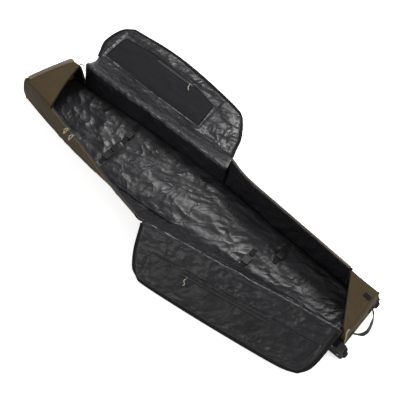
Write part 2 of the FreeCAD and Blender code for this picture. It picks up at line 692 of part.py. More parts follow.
STRAPS = [("tip_near", -455, -88), ("tip_far", -445, 62), ("wheel_near", 385, -72), ("wheel_far", 490, 50)]
for name, x, y in STRAPS:
    held = ribbon([(y - 60, LAY), (y - 44, LAY), (y - 34, LAY + 3), (y - 26, LAY + 3.5)], STRAP, STRAP_THICK, x)
    sewn = ribbon([(y + 38, LAY), (y + 60, LAY)], STRAP, STRAP_THICK, x)
    shaped(f"{name}_strap", Part.makeCompound([held, sewn]))
    shaped(f"{name}_strap_tail", ribbon([(y + 24.5, LAY + 4), (y + 34, LAY + 2.6), (y + 58, LAY + 2.2)],
                                        STRAP, STRAP_THICK, x))
    socket = new_body(f"{name}_buckle_socket")
    face = sketch_on(socket, "XY_Plane", f"SocketPlan_{name}")
    rectangle(face, "Dimensions.buckle_width", "30", (0, -11))
    padded(socket, face, "10", f"SocketBlock_{name}")
    mouth = sketch_on(socket, "XZ_Plane", f"SocketMouth_{name}")
    rectangle(mouth, "Dimensions.buckle_width - 6", "6", (0, 5))
    mouth.AttachmentOffset.Base = V(0, 0, -4)
    pocketed(socket, mouth, "22", True, f"SocketHollow_{name}")
    socket.Placement.Base = V(x, y, LAY)
    prong = new_body(f"{name}_buckle_prong")
    face = sketch_on(prong, "XY_Plane", f"ProngPlan_{name}")
    half = BUCKLE / 2
    outline(face, [(-half, 5), (-half + 4, 5), (-half + 4, -14), (-half + 9, -16), (-half + 9, 4), (half - 9, 4),
                   (half - 9, -16), (half - 4, -14), (half - 4, 5), (half, 5), (half, 17), (-half, 17)])
    padded(prong, face, "5", f"ProngBlock_{name}")
    slot = sketch_on(prong, "XY_Plane", f"ProngSlot_{name}")
    rectangle(slot, "Dimensions.strap_width + 1", "3", (0, 12))
    pocketed(prong, slot, "5", True, f"ProngSlotCut_{name}")
    prong.Placement.Base = V(x, y, LAY + 2.5)
doc.recompute()

# ---------------------------------------------------------------- check and export
doc.recompute()
for item in doc.Objects:
    if "Invalid" in item.State or "Error" in item.State:
        raise RuntimeError(f"{item.Name} failed: {item.State}")
for item in SUB_PARTS:
    if item.Shape.isNull() or not item.Shape.isValid():
        raise RuntimeError(f"{item.Label} has no valid shape")
    item.Shape.exportStep(f"parts/{item.Label}.step")
print(len(SUB_PARTS), "sub-parts written")
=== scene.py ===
# %% [markdown]
# # A wheeled ski bag, open on its back
# The bag is mostly cloth, so nearly every piece here starts as a flat grid that is draped over guide
# lines, the way a pattern cutter lays cloth over a form. The hard parts (wheels, buckles, sliders) come
# from the imported frame and get their finish here. We first load that frame and keep its parts by name.

# %% Load the frame
import math

import bmesh
import bpy
import numpy as np
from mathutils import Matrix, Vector, noise


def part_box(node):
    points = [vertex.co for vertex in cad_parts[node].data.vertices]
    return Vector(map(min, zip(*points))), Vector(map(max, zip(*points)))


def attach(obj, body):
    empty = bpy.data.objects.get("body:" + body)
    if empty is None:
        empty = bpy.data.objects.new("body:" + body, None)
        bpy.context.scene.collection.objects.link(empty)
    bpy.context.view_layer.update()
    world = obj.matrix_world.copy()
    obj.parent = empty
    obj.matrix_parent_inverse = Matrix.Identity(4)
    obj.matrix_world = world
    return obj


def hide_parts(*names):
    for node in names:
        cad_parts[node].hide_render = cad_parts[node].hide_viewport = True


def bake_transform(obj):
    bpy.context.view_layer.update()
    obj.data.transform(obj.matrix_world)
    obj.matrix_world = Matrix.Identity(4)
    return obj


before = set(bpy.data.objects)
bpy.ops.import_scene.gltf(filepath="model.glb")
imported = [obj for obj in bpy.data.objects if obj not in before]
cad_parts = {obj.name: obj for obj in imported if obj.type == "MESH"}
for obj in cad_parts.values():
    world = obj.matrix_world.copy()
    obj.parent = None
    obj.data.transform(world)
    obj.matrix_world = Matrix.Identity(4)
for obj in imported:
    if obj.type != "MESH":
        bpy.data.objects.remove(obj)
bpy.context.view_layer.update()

# %% [markdown]
# The camera comes first, so that each piece can be judged in the picture as it is made. It stands high
# above the wheel end's near corner and looks down with a long lens.

# %% Camera
CAMERA_TURN = math.radians(40.4)
CAMERA_RISE = math.radians(65.8)
CAMERA_DISTANCE = 4.678
scene = bpy.context.scene
camera_data = bpy.data.cameras.new("bag_camera")
camera_data.lens = 90.0
camera_data.sensor_width = 36.0
camera_data.shift_x = 0.0174
camera_data.shift_y = -0.0029
camera_data.clip_end = 60.0
camera = bpy.data.objects.new("bag_camera", camera_data)
scene.collection.objects.link(camera)
back = Vector((
    math.sin(CAMERA_TURN) * math.cos(CAMERA_RISE),
    -math.cos(CAMERA_TURN) * math.cos(CAMERA_RISE),
    math.sin(CAMERA_RISE),
))
camera.location = back * CAMERA_DISTANCE
camera.rotation_mode = "QUATERNION"
camera.rotation_quaternion = (-back).to_track_quat("-Z", "Y")
scene.camera = camera
print("camera at", [round(v, 3) for v in camera.location])

# %% [markdown]
# The stage is a wide pale floor. Three large area lamps and a pale sky give the soft, nearly shadowless
# light of a product studio. The floor glows a little for the camera only, so it stays white around a thin
# contact shadow and throws no extra light on the bag.

# %% Floor and light
FLOOR_GLOW = 0.6
SKY_STRENGTH = 0.34
bpy.ops.mesh.primitive_plane_add(size=24.0, location=(0, 0, -0.0005))
floor = bpy.context.object
floor.name = "studio_floor"
floor_material = bpy.data.materials.new("studio_white")
floor_material.use_nodes = True
floor_tree = floor_material.node_tree
floor_shader = floor_tree.nodes["Principled BSDF"]
floor_shader.inputs["Base Color"].default_value = (0.98, 0.98, 0.98, 1)
floor_shader.inputs["Roughness"].default_value = 0.9
floor_shader.inputs["Emission Color"].default_value = (1, 1, 1, 1)
ray_kind = floor_tree.nodes.new("ShaderNodeLightPath")
glow = floor_tree.nodes.new("ShaderNodeMath")
glow.operation = "MULTIPLY"
glow.inputs[1].default_value = FLOOR_GLOW
floor_tree.links.new(ray_kind.outputs["Is Camera Ray"], glow.inputs[0])
floor_tree.links.new(glow.outputs[0], floor_shader.inputs["Emission Strength"])
floor.data.materials.append(floor_material)

world = bpy.data.worlds.new("studio_sky")
world.use_nodes = True
sky = world.node_tree.nodes["Background"]
sky.inputs["Color"].default_value = (1, 1, 1, 1)
sky.inputs["Strength"].default_value = SKY_STRENGTH
scene.world = world


def area_lamp(name, place, size, watts):
    """A square lamp that faces the middle of the bag."""
    data = bpy.data.lights.new(name, "AREA")
    data.shape = "SQUARE"
    data.size = size
    data.energy = watts
    lamp = bpy.data.objects.new(name, data)
    lamp.location = place
    lamp.rotation_mode = "QUATERNION"
    lamp.rotation_quaternion = Vector(place).to_track_quat("Z", "Y")
    scene.collection.objects.link(lamp)


area_lamp("key_lamp", (-0.6, 2.8, 3.6), 1.5, 190)
area_lamp("side_lamp", (3.2, 0.6, 2.6), 1.4, 62)
area_lamp("front_lamp", (-1.5, -3.2, 3.0), 2.4, 52)
scene.view_settings.view_transform = "Standard"
scene.view_settings.look = "None"

# %% [markdown]
# Cloth is laid over guide rails. A rail is a short list of points, most often along the length of the bag;
# between rails the surface is filled in smoothly. Sewn goods are made the same way: the edges are cut to a
# few measured curves, and the cloth finds its own way between them.

# %% Cloth laid on rails


def smooth_curve(points, count):
    """Points at even spacing along a smooth curve through the given ones."""
    given = np.array(points, float)
    ends = np.vstack([2 * given[0] - given[1], given, 2 * given[-1] - given[-2]])
    dense = []
    for a, b, c, d in zip(ends, ends[1:], ends[2:], ends[3:]):
        t = np.linspace(0, 1, 24, endpoint=False)[:, None]
        dense.append(0.5 * (2 * b + (c - a) * t + (2 * a - 5 * b + 4 * c - d) * t**2
                            + (3 * b - a - 3 * c + d) * t**3))
    dense = np.vstack(dense + [given[-1:]])
    reach = np.concatenate([[0], np.cumsum(np.linalg.norm(np.diff(dense, axis=0), axis=1))])
    want = np.linspace(0, reach[-1], count)
    return np.stack([np.interp(want, reach, dense[:, k]) for k in range(3)], 1)


def drape(rails, across, along):
    """A grid of points over the rails: across rows, each of along points."""
    spread = np.array([smooth_curve(rail, along) for rail in rails])
    columns = [smooth_curve(spread[:, i], across) for i in range(along)]
    return np.array(columns).transpose(1, 0, 2)


def at_height(z, *spots):
    """Points at one height over the given (x, y) spots."""
    return [(x, y, z) for x, y in spots]


def grid_normals(grid):
    """Unit normals of a grid, on the side of (row direction) x (column direction)."""
    normals = np.cross(np.gradient(grid, axis=1), np.gradient(grid, axis=0))
    return normals / np.maximum(np.linalg.norm(normals, axis=2, keepdims=True), 1e-9)


def measures(grid):
    """Distances in metres along the rows and down the columns, for cutting and for texture."""
    along = np.linalg.norm(np.diff(grid, axis=1), axis=2)
    down = np.linalg.norm(np.diff(grid, axis=0), axis=2)
    u = np.concatenate([np.zeros((grid.shape[0], 1)), np.cumsum(along, axis=1)], 1)
    v = np.concatenate([np.zeros((1, grid.shape[1])), np.cumsum(down, axis=0)], 0)
    return u, v


def flat_area(grid):
    """The area of a grid before any wrinkle is put in."""
    one = np.linalg.norm(np.cross(grid[:-1, 1:] - grid[:-1, :-1], grid[1:, :-1] - grid[:-1, :-1]), axis=2)
    two = np.linalg.norm(np.cross(grid[1:, :-1] - grid[1:, 1:], grid[:-1, 1:] - grid[1:, 1:]), axis=2)
    return float((one.sum() + two.sum()) / 2)


print("a test drape has", drape([[(0, 0, 0), (1, 0, 0)], [(0, 1, 0), (1, 1, 0)]], 4, 5).shape, "points")

# %% [markdown]
# Lining cloth is thin and was folded many times, so it is full of small sharp ridges that run every way.
# A ridge is where a slow wave changes sign, so the height is one minus the size of a noise value. The calm
# mask flattens the places where a panel, a seam or a tape holds the cloth down.

# %% Wrinkles


def ridge_height(u, v, size, stretch, turn, seed):
    """Crumple height from 0 to 1 at cloth coordinates; stretch draws the ridges out along turn."""
    ca, sa = math.cos(turn), math.sin(turn)
    height = np.zeros(u.shape)
    for level, share in ((1.0, 0.55), (2.3, 0.3), (5.1, 0.15)):
        for index in np.ndindex(u.shape):
            p = (u[index] * ca + v[index] * sa) / (size * stretch)
            q = (v[index] * ca - u[index] * sa) / size
            bend = 0.35 * noise.noise((p * 0.7, q * 0.7, seed + 31.0))
            value = noise.noise((p * level + bend, q * level - bend, seed + level))
            height[index] += share * (1 - min(1, abs(value) * 2.6))
    return height


def wrinkled(grid, depth, size, stretch=1.6, turn=0.4, seed=1.0, calm=None, one_sided=False):
    """The grid with ridges of the given depth pushed along its normals."""
    u, v = measures(grid)
    height = ridge_height(u, v, size, stretch, turn, seed) - (0 if one_sided else 0.45)
    if calm is not None:
        height = height * calm
    return grid + grid_normals(grid) * (height * depth)[:, :, None]


def edge_calm(grid, rim=(0.02, 0.02, 0.02, 0.02)):
    """A mask that is 0 on the four edges and 1 further in: first row, last row, first and last column."""
    u, v = measures(grid)
    gaps = (v, v[-1:] - v, u, u[:, -1:] - u)
    mask = np.ones(u.shape)
    for gap, width in zip(gaps, rim):
        if width:
            mask = mask * np.clip(gap / width, 0, 1)
    return mask


test_height = ridge_height(np.array([[0.3]]), np.array([[0.2]]), 0.1, 1, 0, 1)[0, 0]
print("ridge height at one point", round(float(test_height), 3))

# %% [markdown]
# A laid grid becomes a mesh with one quad per cell. Its texture coordinates are metres of cloth, so the
# weave keeps its true size however the piece is bent. A solidify modifier then gives it its thickness.

# %% From grid to cloth


def link_mesh(name, mesh):
    """Put a new mesh into the scene as a smooth-shaded object."""
    piece = bpy.data.objects.new(name, mesh)
    scene.collection.objects.link(piece)
    bpy.ops.object.select_all(action="DESELECT")
    piece.select_set(True)
    bpy.context.view_layer.objects.active = piece
    bpy.ops.object.shade_smooth()
    return piece


def thicken(piece, thick, side=0.0):
    """Give a sheet its thickness; side is -1 for wholly behind its face, 0 for both sides, 1 for in front."""
    solid = piece.modifiers.new("thickness", "SOLIDIFY")
    solid.thickness = thick
    solid.offset = side
    bpy.context.view_layer.objects.active = piece
    bpy.ops.object.modifier_apply(modifier=solid.name)
    return piece


def cloth(name, grid, thick, material, side=0.0, flip=False):
    """A sheet of cloth on a grid of points, with texture coordinates in metres."""
    rows, columns = grid.shape[:2]
    u, v = measures(grid)
    cell = np.arange(rows * columns).reshape(rows, columns)
    corners = np.stack([cell[:-1, :-1], cell[:-1, 1:], cell[1:, 1:], cell[1:, :-1]], -1).reshape(-1, 4)
    if flip:
        corners = corners[:, ::-1]
    mesh = bpy.data.meshes.new(name)
    mesh.from_pydata(grid.reshape(-1, 3).tolist(), [], corners.tolist())
    layer = mesh.uv_layers.new(name="cloth")
    flat = np.stack([u.reshape(-1), v.reshape(-1)], 1)[corners.reshape(-1)]
    layer.data.foreach_set("uv", flat.reshape(-1).astype(np.float32))
    piece = link_mesh(name, mesh)
    thicken(piece, thick, side)
    piece.data.materials.append(material)
    return piece


def lining_sheet(name, grid, flip=False):
    """A sheet of the black lining."""
    return cloth(name, grid, 0.0010, LINING, flip=flip)


def skin_sheet(name, grid):
    """A sheet of the outer canvas, turned to face away from the lining."""
    return cloth(name, grid, 0.0014, OLIVE, flip=True)


def declare_sheet(piece, grid):
    """Say how large the cloth was when flat, from the unwrinkled grid it was laid on."""
    u, v = measures(grid)
    width, length = float(u[:, -1].max()), float(v[-1].max())
    area = min(flat_area(grid), width * length)
    if area < 0.35 * width * length:
        width, length = float(u[:, -1].mean()), float(v[-1].mean())
    print(piece.name, "cut", round(width, 3), "x", round(length, 3), "m, area", round(area, 3))

# %% [markdown]
# Three effects are shared by many finishes, so each is a node group with named sockets. "weave" gives the
# height of a plain woven cloth, "crumple" the height of fine creases, and "patches" a slow uneven mask for
# dust and wear. The Principled shader itself stays in each finish. First come the helpers that add a node.

# %% Helpers for effects


def effect_group(name, inputs, output):
    """An empty node group with float or vector inputs and one float output."""
    tree = bpy.data.node_groups.new(name, "ShaderNodeTree")
    for label, kind, value in inputs:
        socket = tree.interface.new_socket(label, in_out="INPUT", socket_type=kind)
        if value is not None:
            socket.default_value = value
    tree.interface.new_socket(output, in_out="OUTPUT", socket_type="NodeSocketFloat")
    return tree, tree.nodes.new("NodeGroupInput"), tree.nodes.new("NodeGroupOutput")


def math_node(tree, operation, first, second=None):
    """A math node whose inputs are sockets or plain numbers."""
    node = tree.nodes.new("ShaderNodeMath")
    node.operation = operation
    for index, value in enumerate((first, second)):
        if value is None:
            continue
        if isinstance(value, (int, float)):
            node.inputs[index].default_value = value
        else:
            tree.links.new(value, node.inputs[index])
    return node.outputs[0]


def noise_node(tree, vector, scale, detail=4.0, distortion=0.0):
    """A noise whose scale is a plain number or a socket to follow."""
    node = tree.nodes.new("ShaderNodeTexNoise")
    node.inputs["Detail"].default_value = detail
    node.inputs["Distortion"].default_value = distortion
    tree.links.new(vector, node.inputs["Vector"])
    if isinstance(scale, (int, float)):
        node.inputs["Scale"].default_value = scale
    else:
        tree.links.new(scale, node.inputs["Scale"])
    return node.outputs["Fac"]


print("node groups so far", len(bpy.data.node_groups))

# %% [markdown]
# A weave is two crossed sine waves. Crumple folds a noise about its middle value, which makes sharp ridges,
# at three sizes. Patches are a noise with its contrast raised.

# %% Shared effects


def make_weave():
    """Height of threads that pass over and under each other; Pitch is the distance between threads."""
    tree, start, end = effect_group("weave", [("Vector", "NodeSocketVector", None),
                                              ("Pitch", "NodeSocketFloat", 0.001)], "Height")
    split = tree.nodes.new("ShaderNodeSeparateXYZ")
    tree.links.new(start.outputs["Vector"], split.inputs[0])
    rate = math_node(tree, "DIVIDE", math.pi, start.outputs["Pitch"])
    across = math_node(tree, "SINE", math_node(tree, "MULTIPLY", split.outputs[0], rate))
    down = math_node(tree, "SINE", math_node(tree, "MULTIPLY", split.outputs[1], rate))
    crossing = math_node(tree, "MULTIPLY", across, down)
    threads = math_node(tree, "ADD", math_node(tree, "ABSOLUTE", across), math_node(tree, "ABSOLUTE", down))
    raised = math_node(tree, "MULTIPLY", threads, 0.35)
    total = math_node(tree, "ADD", raised, math_node(tree, "MULTIPLY", crossing, 0.3))
    tree.links.new(total, end.inputs["Height"])
    return tree


def make_crumple():
    """Height of sharp small creases; Size is the width of the largest ones."""
    tree, start, end = effect_group("crumple", [("Vector", "NodeSocketVector", None),
                                                ("Size", "NodeSocketFloat", 0.05)], "Height")
    rate = math_node(tree, "DIVIDE", 1.0, start.outputs["Size"])
    total = 0.0
    for level, share in ((0.5, 0.6), (1.2, 0.28), (2.7, 0.12)):
        value = noise_node(tree, start.outputs["Vector"], math_node(tree, "MULTIPLY", rate, level), 1.0, 0.4)
        ridge = math_node(tree, "ABSOLUTE", math_node(tree, "SUBTRACT", value, 0.5))
        total = math_node(tree, "ADD", math_node(tree, "MULTIPLY", ridge, -4.0 * share), total)
    tree.links.new(math_node(tree, "ADD", total, 1.0), end.inputs["Height"])
    return tree


def make_patches():
    """A slow uneven mask from 0 to 1."""
    tree, start, end = effect_group("patches", [("Vector", "NodeSocketVector", None),
                                                ("Scale", "NodeSocketFloat", 8.0)], "Mask")
    value = noise_node(tree, start.outputs["Vector"], start.outputs["Scale"], 5.0, 0.4)
    ramp = tree.nodes.new("ShaderNodeMapRange")
    ramp.inputs["From Min"].default_value = 0.35
    ramp.inputs["From Max"].default_value = 0.68
    tree.links.new(value, ramp.inputs["Value"])
    tree.links.new(ramp.outputs["Result"], end.inputs["Mask"])
    return tree


WEAVE = make_weave()
CRUMPLE = make_crumple()
PATCHES = make_patches()
print("effects", [tree.name for tree in (WEAVE, CRUMPLE, PATCHES)])

# %% [markdown]
# One function makes every finish: two colours mixed by the slow mask, a roughness that drifts with it, up
# to three bumps, and painted shade between the threads of a weave. Cloth takes its coordinates from the
# metres of cloth; hard parts take theirs from the object, which stays in metres too.

# %% Finishes


def group_node(tree, group, vector, **values):
    """Place a shared node group in a material with its own values, and return its first output."""
    node = tree.nodes.new("ShaderNodeGroup")
    node.node_tree = group
    tree.links.new(vector, node.inputs["Vector"])
    for label, value in values.items():
        node.inputs[label].default_value = value
    return node.outputs[0]


def bump(tree, height, depth, distance, before=None):
    """A bump from a height socket, laid over an earlier normal where there is one."""
    node = tree.nodes.new("ShaderNodeBump")
    node.inputs["Strength"].default_value = depth
    node.inputs["Distance"].default_value = distance
    tree.links.new(height, node.inputs["Height"])
    if before is not None:
        tree.links.new(before, node.inputs["Normal"])
    return node.outputs["Normal"]


def finish(name, colour, worn, roughness, *, on_cloth=True, weave=0.0, weave_depth=0.4, crumple=0.0,
           crumple_depth=0.5, grain=0.0, metal=0.0, sheen=0.0, shine=0.3, patch_scale=8.0, stitch=None):
    """A finish; weave and crumple are sizes in metres, grain is a noise scale."""
    material = bpy.data.materials.new(name)
    material.use_nodes = True
    tree = material.node_tree
    shader = tree.nodes["Principled BSDF"]
    place = tree.nodes.new("ShaderNodeTexCoord")
    vector = place.outputs["UV" if on_cloth else "Object"]
    mask = group_node(tree, PATCHES, vector, Scale=patch_scale)
    mix = tree.nodes.new("ShaderNodeMix")
    mix.data_type = "RGBA"
    mix.inputs["A"].default_value = (*colour, 1)
    mix.inputs["B"].default_value = (*worn, 1)
    tree.links.new(mask, mix.inputs["Factor"])
    shade = mix.outputs["Result"]
    drift = tree.nodes.new("ShaderNodeMapRange")
    drift.inputs["To Min"].default_value = roughness
    drift.inputs["To Max"].default_value = min(1.0, roughness + 0.12)
    tree.links.new(mask, drift.inputs["Value"])
    tree.links.new(drift.outputs["Result"], shader.inputs["Roughness"])
    normal = None
    if crumple:
        height = group_node(tree, CRUMPLE, vector, Size=crumple)
        normal = bump(tree, height, crumple_depth, crumple * 0.16, normal)
    if weave:
        height = group_node(tree, WEAVE, vector, Pitch=weave)
        normal = bump(tree, height, weave_depth, weave * 0.5, normal)
        # Painted shade: the low places of the weave, between the threads, are darkened in the base colour.
        painted_weave_shade = tree.nodes.new("ShaderNodeMix")
        painted_weave_shade.data_type = "RGBA"
        painted_weave_shade.blend_type = "MULTIPLY"
        painted_weave_shade.inputs["B"].default_value = (0.62, 0.62, 0.62, 1)
        low = math_node(tree, "SUBTRACT", 0.6, height)
        tree.links.new(low, painted_weave_shade.inputs["Factor"])
        tree.links.new(shade, painted_weave_shade.inputs["A"])
        shade = painted_weave_shade.outputs["Result"]
    if grain:
        normal = bump(tree, noise_node(tree, vector, grain, 3.0), 0.25, 0.0006, normal)
    if stitch:
        split = tree.nodes.new("ShaderNodeSeparateXYZ")
        tree.links.new(vector, split.inputs[0])
        wave = math_node(tree, "SINE", math_node(tree, "MULTIPLY", split.outputs[0], 2 * math.pi / stitch))
        normal = bump(tree, wave, 0.5, stitch * 0.12, normal)
    if normal is not None:
        tree.links.new(normal, shader.inputs["Normal"])
    tree.links.new(shade, shader.inputs["Base Color"])
    shader.inputs["Metallic"].default_value = metal
    shader.inputs["Sheen Weight"].default_value = sheen
    shader.inputs["Sheen Roughness"].default_value = 0.5
    shader.inputs["Specular IOR Level"].default_value = shine
    return material


print("materials so far", len(bpy.data.materials))

# %% [markdown]
# Black cloth sends back only about one part in a hundred of the light, so these colours are very dark. What
# sets lining, pocket and webbing apart is how rough they are and how deep their creases run.

# %% Cloth finishes
OLIVE = finish("olive_canvas", (0.056, 0.0395, 0.0205), (0.066, 0.047, 0.025), 0.82, shine=0.08,
               weave=0.0011, weave_depth=0.5, crumple=0.09, crumple_depth=0.35, sheen=0.06)
LINING = finish("crinkled_lining", (0.0095, 0.0086, 0.0106), (0.0145, 0.0132, 0.0160), 0.35, shine=0.42,
                weave=0.0008, weave_depth=0.1, crumple=0.12, crumple_depth=0.62, patch_scale=5.0)
POCKET = finish("matte_pocket_cloth", (0.0085, 0.0078, 0.0094), (0.0115, 0.0106, 0.0126), 0.7, shine=0.15,
                weave=0.0009, weave_depth=0.3, crumple=0.1, crumple_depth=0.3, sheen=0.05)
NEAR_POCKET = finish("dull_pocket_cloth", (0.0070, 0.0064, 0.0079), (0.0105, 0.0097, 0.0117), 0.38,
                     shine=0.38, weave=0.0009, weave_depth=0.2, crumple=0.13, crumple_depth=0.7)
BINDING = finish("black_binding", (0.005, 0.005, 0.0053), (0.008, 0.008, 0.0087), 0.66, shine=0.12,
                 weave=0.0012, weave_depth=0.6, stitch=0.006, sheen=0.08)
RIM = finish("olive_binding", (0.135, 0.103, 0.064), (0.165, 0.128, 0.083), 0.76, shine=0.12,
             weave=0.0012, weave_depth=0.6, stitch=0.006, sheen=0.1)
WEBBING = finish("black_webbing", (0.008, 0.0077, 0.0077), (0.012, 0.0115, 0.0115), 0.6, shine=0.2,
                 weave=0.0018, weave_depth=0.8, sheen=0.08)
TAPE = finish("zip_tape_cloth", (0.01, 0.01, 0.0105), (0.014, 0.014, 0.0145), 0.7,
              weave=0.001, weave_depth=0.6)
CORD = finish("taupe_cord", (0.33, 0.27, 0.20), (0.40, 0.33, 0.25), 0.7,
              weave=0.0012, weave_depth=0.8, sheen=0.1)
print(len(bpy.data.materials), "finishes, cloth among them")

# %% [markdown]
# Hard parts take a fine grain instead of a weave. Their colours differ little; the roughness and the shine
# tell rubber, moulded plastic, steel and foam apart.

# %% Finishes of hard parts


def hard_finish(name, colour, worn, roughness, grain, **rest):
    """A finish that takes its coordinates from the object and has a grain in place of a weave."""
    return finish(name, colour, worn, roughness, on_cloth=False, grain=grain, **rest)


TEETH = hard_finish("zip_teeth", (0.03, 0.03, 0.032), (0.045, 0.045, 0.048), 0.38, 300.0)
UNDERSIDE = hard_finish("coated_underside", (0.014, 0.0135, 0.013), (0.024, 0.022, 0.02), 0.6, 900.0,
                        patch_scale=14.0)
MOULDED = hard_finish("moulded_black", (0.005, 0.0046, 0.0046), (0.009, 0.008, 0.008), 0.5, 700.0, shine=0.18)
RUBBER = hard_finish("wheel_rubber", (0.008, 0.008, 0.008), (0.018, 0.017, 0.016), 0.74, 500.0,
                     patch_scale=30.0, shine=0.15)
HUB_RED = hard_finish("dark_red_hub", (0.045, 0.012, 0.012), (0.06, 0.02, 0.018), 0.35, 500.0)
STEEL = hard_finish("brushed_steel", (0.42, 0.42, 0.43), (0.32, 0.31, 0.31), 0.3, 900.0, metal=1.0)
BUCKLE = hard_finish("buckle_plastic", (0.010, 0.010, 0.0105), (0.015, 0.015, 0.0155), 0.3, 800.0)
SLIDER = hard_finish("dark_slider_metal", (0.11, 0.11, 0.115), (0.07, 0.07, 0.073), 0.34, 600.0, metal=0.9)
BOARD = hard_finish("grey_board", (0.05, 0.05, 0.052), (0.07, 0.07, 0.07), 0.55, 400.0)
FOAM = hard_finish("grey_foam", (0.07, 0.07, 0.072), (0.09, 0.09, 0.09), 0.9, 350.0)
print(len(bpy.data.materials), "finishes")

# %% [markdown]
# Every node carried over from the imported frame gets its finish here, by a word in its name. The soft ones
# among them are hidden later, where a sewn piece takes their place, but they keep a finish all the same.

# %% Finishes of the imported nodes
NODE_FINISHES = (
    ("tyre", RUBBER), ("hub", HUB_RED), ("bearings", STEEL), ("axle", STEEL), ("rivets", STEEL),
    ("housing", MOULDED), ("skid", MOULDED), ("buckle", BUCKLE), ("pull", CORD), ("slider", SLIDER),
    ("pocket_zip", TEETH), ("zip_tape", TAPE), ("strap", WEBBING), ("webbing", WEBBING), ("anchors", WEBBING),
    ("board", BOARD), ("foam", FOAM), ("floor_panel", UNDERSIDE), ("lining", LINING), ("pocket", POCKET),
    ("cap", OLIVE), ("wall", OLIVE), ("gusset", OLIVE), ("shell", OLIVE),
)


def finish_for(node_name):
    """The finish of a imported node, from the first listed word that its name holds."""
    for word, material in NODE_FINISHES:
        if word in node_name:
            return material
    raise KeyError(node_name)


for node_name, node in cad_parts.items():
    node.data.materials.clear()
    node.data.materials.append(finish_for(node_name))
print(len(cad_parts), "packed nodes finished")

# %% [markdown]
# Edges of the bag are bound with folded tape, and the zips run on tapes of their own. Both are a small
# section carried along a path. The section keeps its up side near a given direction, so it never twists.

# %% Bands along a path


def frames_along(path, up):
    """Tangent, side and up vectors at every point of a path."""
    tangent = np.gradient(path, axis=0)
    tangent /= np.maximum(np.linalg.norm(tangent, axis=1, keepdims=True), 1e-9)
    side = np.cross(tangent, np.broadcast_to(np.array(up, float), path.shape))
    side /= np.maximum(np.linalg.norm(side, axis=1, keepdims=True), 1e-9)
    return tangent, side, np.cross(side, tangent)


def flat_section(width, height, corners=12):
    """A flattened oval of (side, up) offsets."""
    turns = np.linspace(0, 2 * math.pi, corners, endpoint=False)
    round_side = np.sign(np.cos(turns)) * np.abs(np.cos(turns)) ** 0.6
    return np.stack([round_side * width / 2, np.sin(turns) * height / 2], 1)


def outward_mesh(name, points, faces):
    """A closed mesh with every face looking out."""
    mesh = bpy.data.meshes.new(name)
    mesh.from_pydata(points.reshape(-1, 3).tolist(), [], faces)
    check = bmesh.new()
    check.from_mesh(mesh)
    bmesh.ops.recalc_face_normals(check, faces=check.faces)
    check.to_mesh(mesh)
    check.free()
    return mesh


def band(name, points, width, height, material, up=(0, 0, 1), spacing=0.006, even=True):
    """A closed, capped band of the given section along a smooth path."""
    rough = np.array(points, float)
    count = max(8, int(np.linalg.norm(np.diff(rough, axis=0), axis=1).sum() / spacing))
    path = smooth_curve(points, count) if even else rough
    tangent, side, rise = frames_along(path, up)
    section = flat_section(width, height)
    rings = path[:, None] + side[:, None] * section[None, :, :1] + rise[:, None] * section[None, :, 1:]
    rows, columns = rings.shape[:2]
    cell = np.arange(rows * columns).reshape(rows, columns)
    turn = np.roll(cell, -1, axis=1)
    faces = np.stack([cell[:-1], turn[:-1], turn[1:], cell[1:]], -1).reshape(-1, 4).tolist()
    faces.append(cell[0][::-1].tolist())
    faces.append(cell[-1].tolist())
    mesh = outward_mesh(name, rings, faces)
    reach = np.concatenate([[0], np.cumsum(np.linalg.norm(np.diff(path, axis=0), axis=1))])
    around = np.linspace(0, 2 * (width + height), columns)
    layer = mesh.uv_layers.new(name="cloth")
    for loop in mesh.loops:
        row, column = divmod(loop.vertex_index, columns)
        layer.data[loop.index].uv = (reach[row], around[column])
    piece = link_mesh(name, mesh)
    piece.data.materials.append(material)
    return piece


print("bands ready, section corners", len(flat_section(0.016, 0.006)))

# %% [markdown]
# A zip's teeth are small blocks, one for every pitch along the tape. A panel that holds the cloth flat, such
# as a pocket or a tape, is given by two corners, and no wrinkle is laid inside it.

# %% Zip teeth and flat panels


def teeth(name, points, up, size=(0.0022, 0.0058, 0.0022), pitch=0.0035):
    """The teeth of a closed-coil zip: one small block per pitch, each lying across the path."""
    rough = np.array(points, float)
    length = np.linalg.norm(np.diff(rough, axis=0), axis=1).sum()
    path = smooth_curve(points, max(3, int(length / pitch)))
    tangent, side, rise = frames_along(path, up)
    corners = np.array([(a, b, c) for a in (-1, 1) for b in (-1, 1) for c in (-1, 1)], float) / 2
    corners = corners * np.array(size)
    blocks = (path[:, None] + tangent[:, None] * corners[None, :, :1] + side[:, None] * corners[None, :, 1:2]
              + rise[:, None] * corners[None, :, 2:])
    quads = np.array([(0, 1, 3, 2), (4, 6, 7, 5), (0, 4, 5, 1), (2, 3, 7, 6), (0, 2, 6, 4), (1, 5, 7, 3)])
    faces = (quads[None] + 8 * np.arange(len(path))[:, None, None]).reshape(-1, 4)
    piece = bpy.data.objects.new(name, outward_mesh(name, blocks, faces.tolist()))
    scene.collection.objects.link(piece)
    piece.data.materials.append(TEETH)
    print(name, len(path), "teeth")
    return piece


def inside_panel(grid, low, high, soft=0.012):
    """A mask that is 0 where a flat panel between two (x, y) corners holds the cloth, and 1 outside it."""
    gap_x = np.maximum(low[0] - grid[..., 0], grid[..., 0] - high[0])
    gap_y = np.maximum(low[1] - grid[..., 1], grid[..., 1] - high[1])
    return np.clip(np.maximum(gap_x, gap_y) / soft, 0, 1)


print("a mask value inside a panel", float(inside_panel(np.zeros((1, 3)), (-1, -1), (1, 1))[0]))
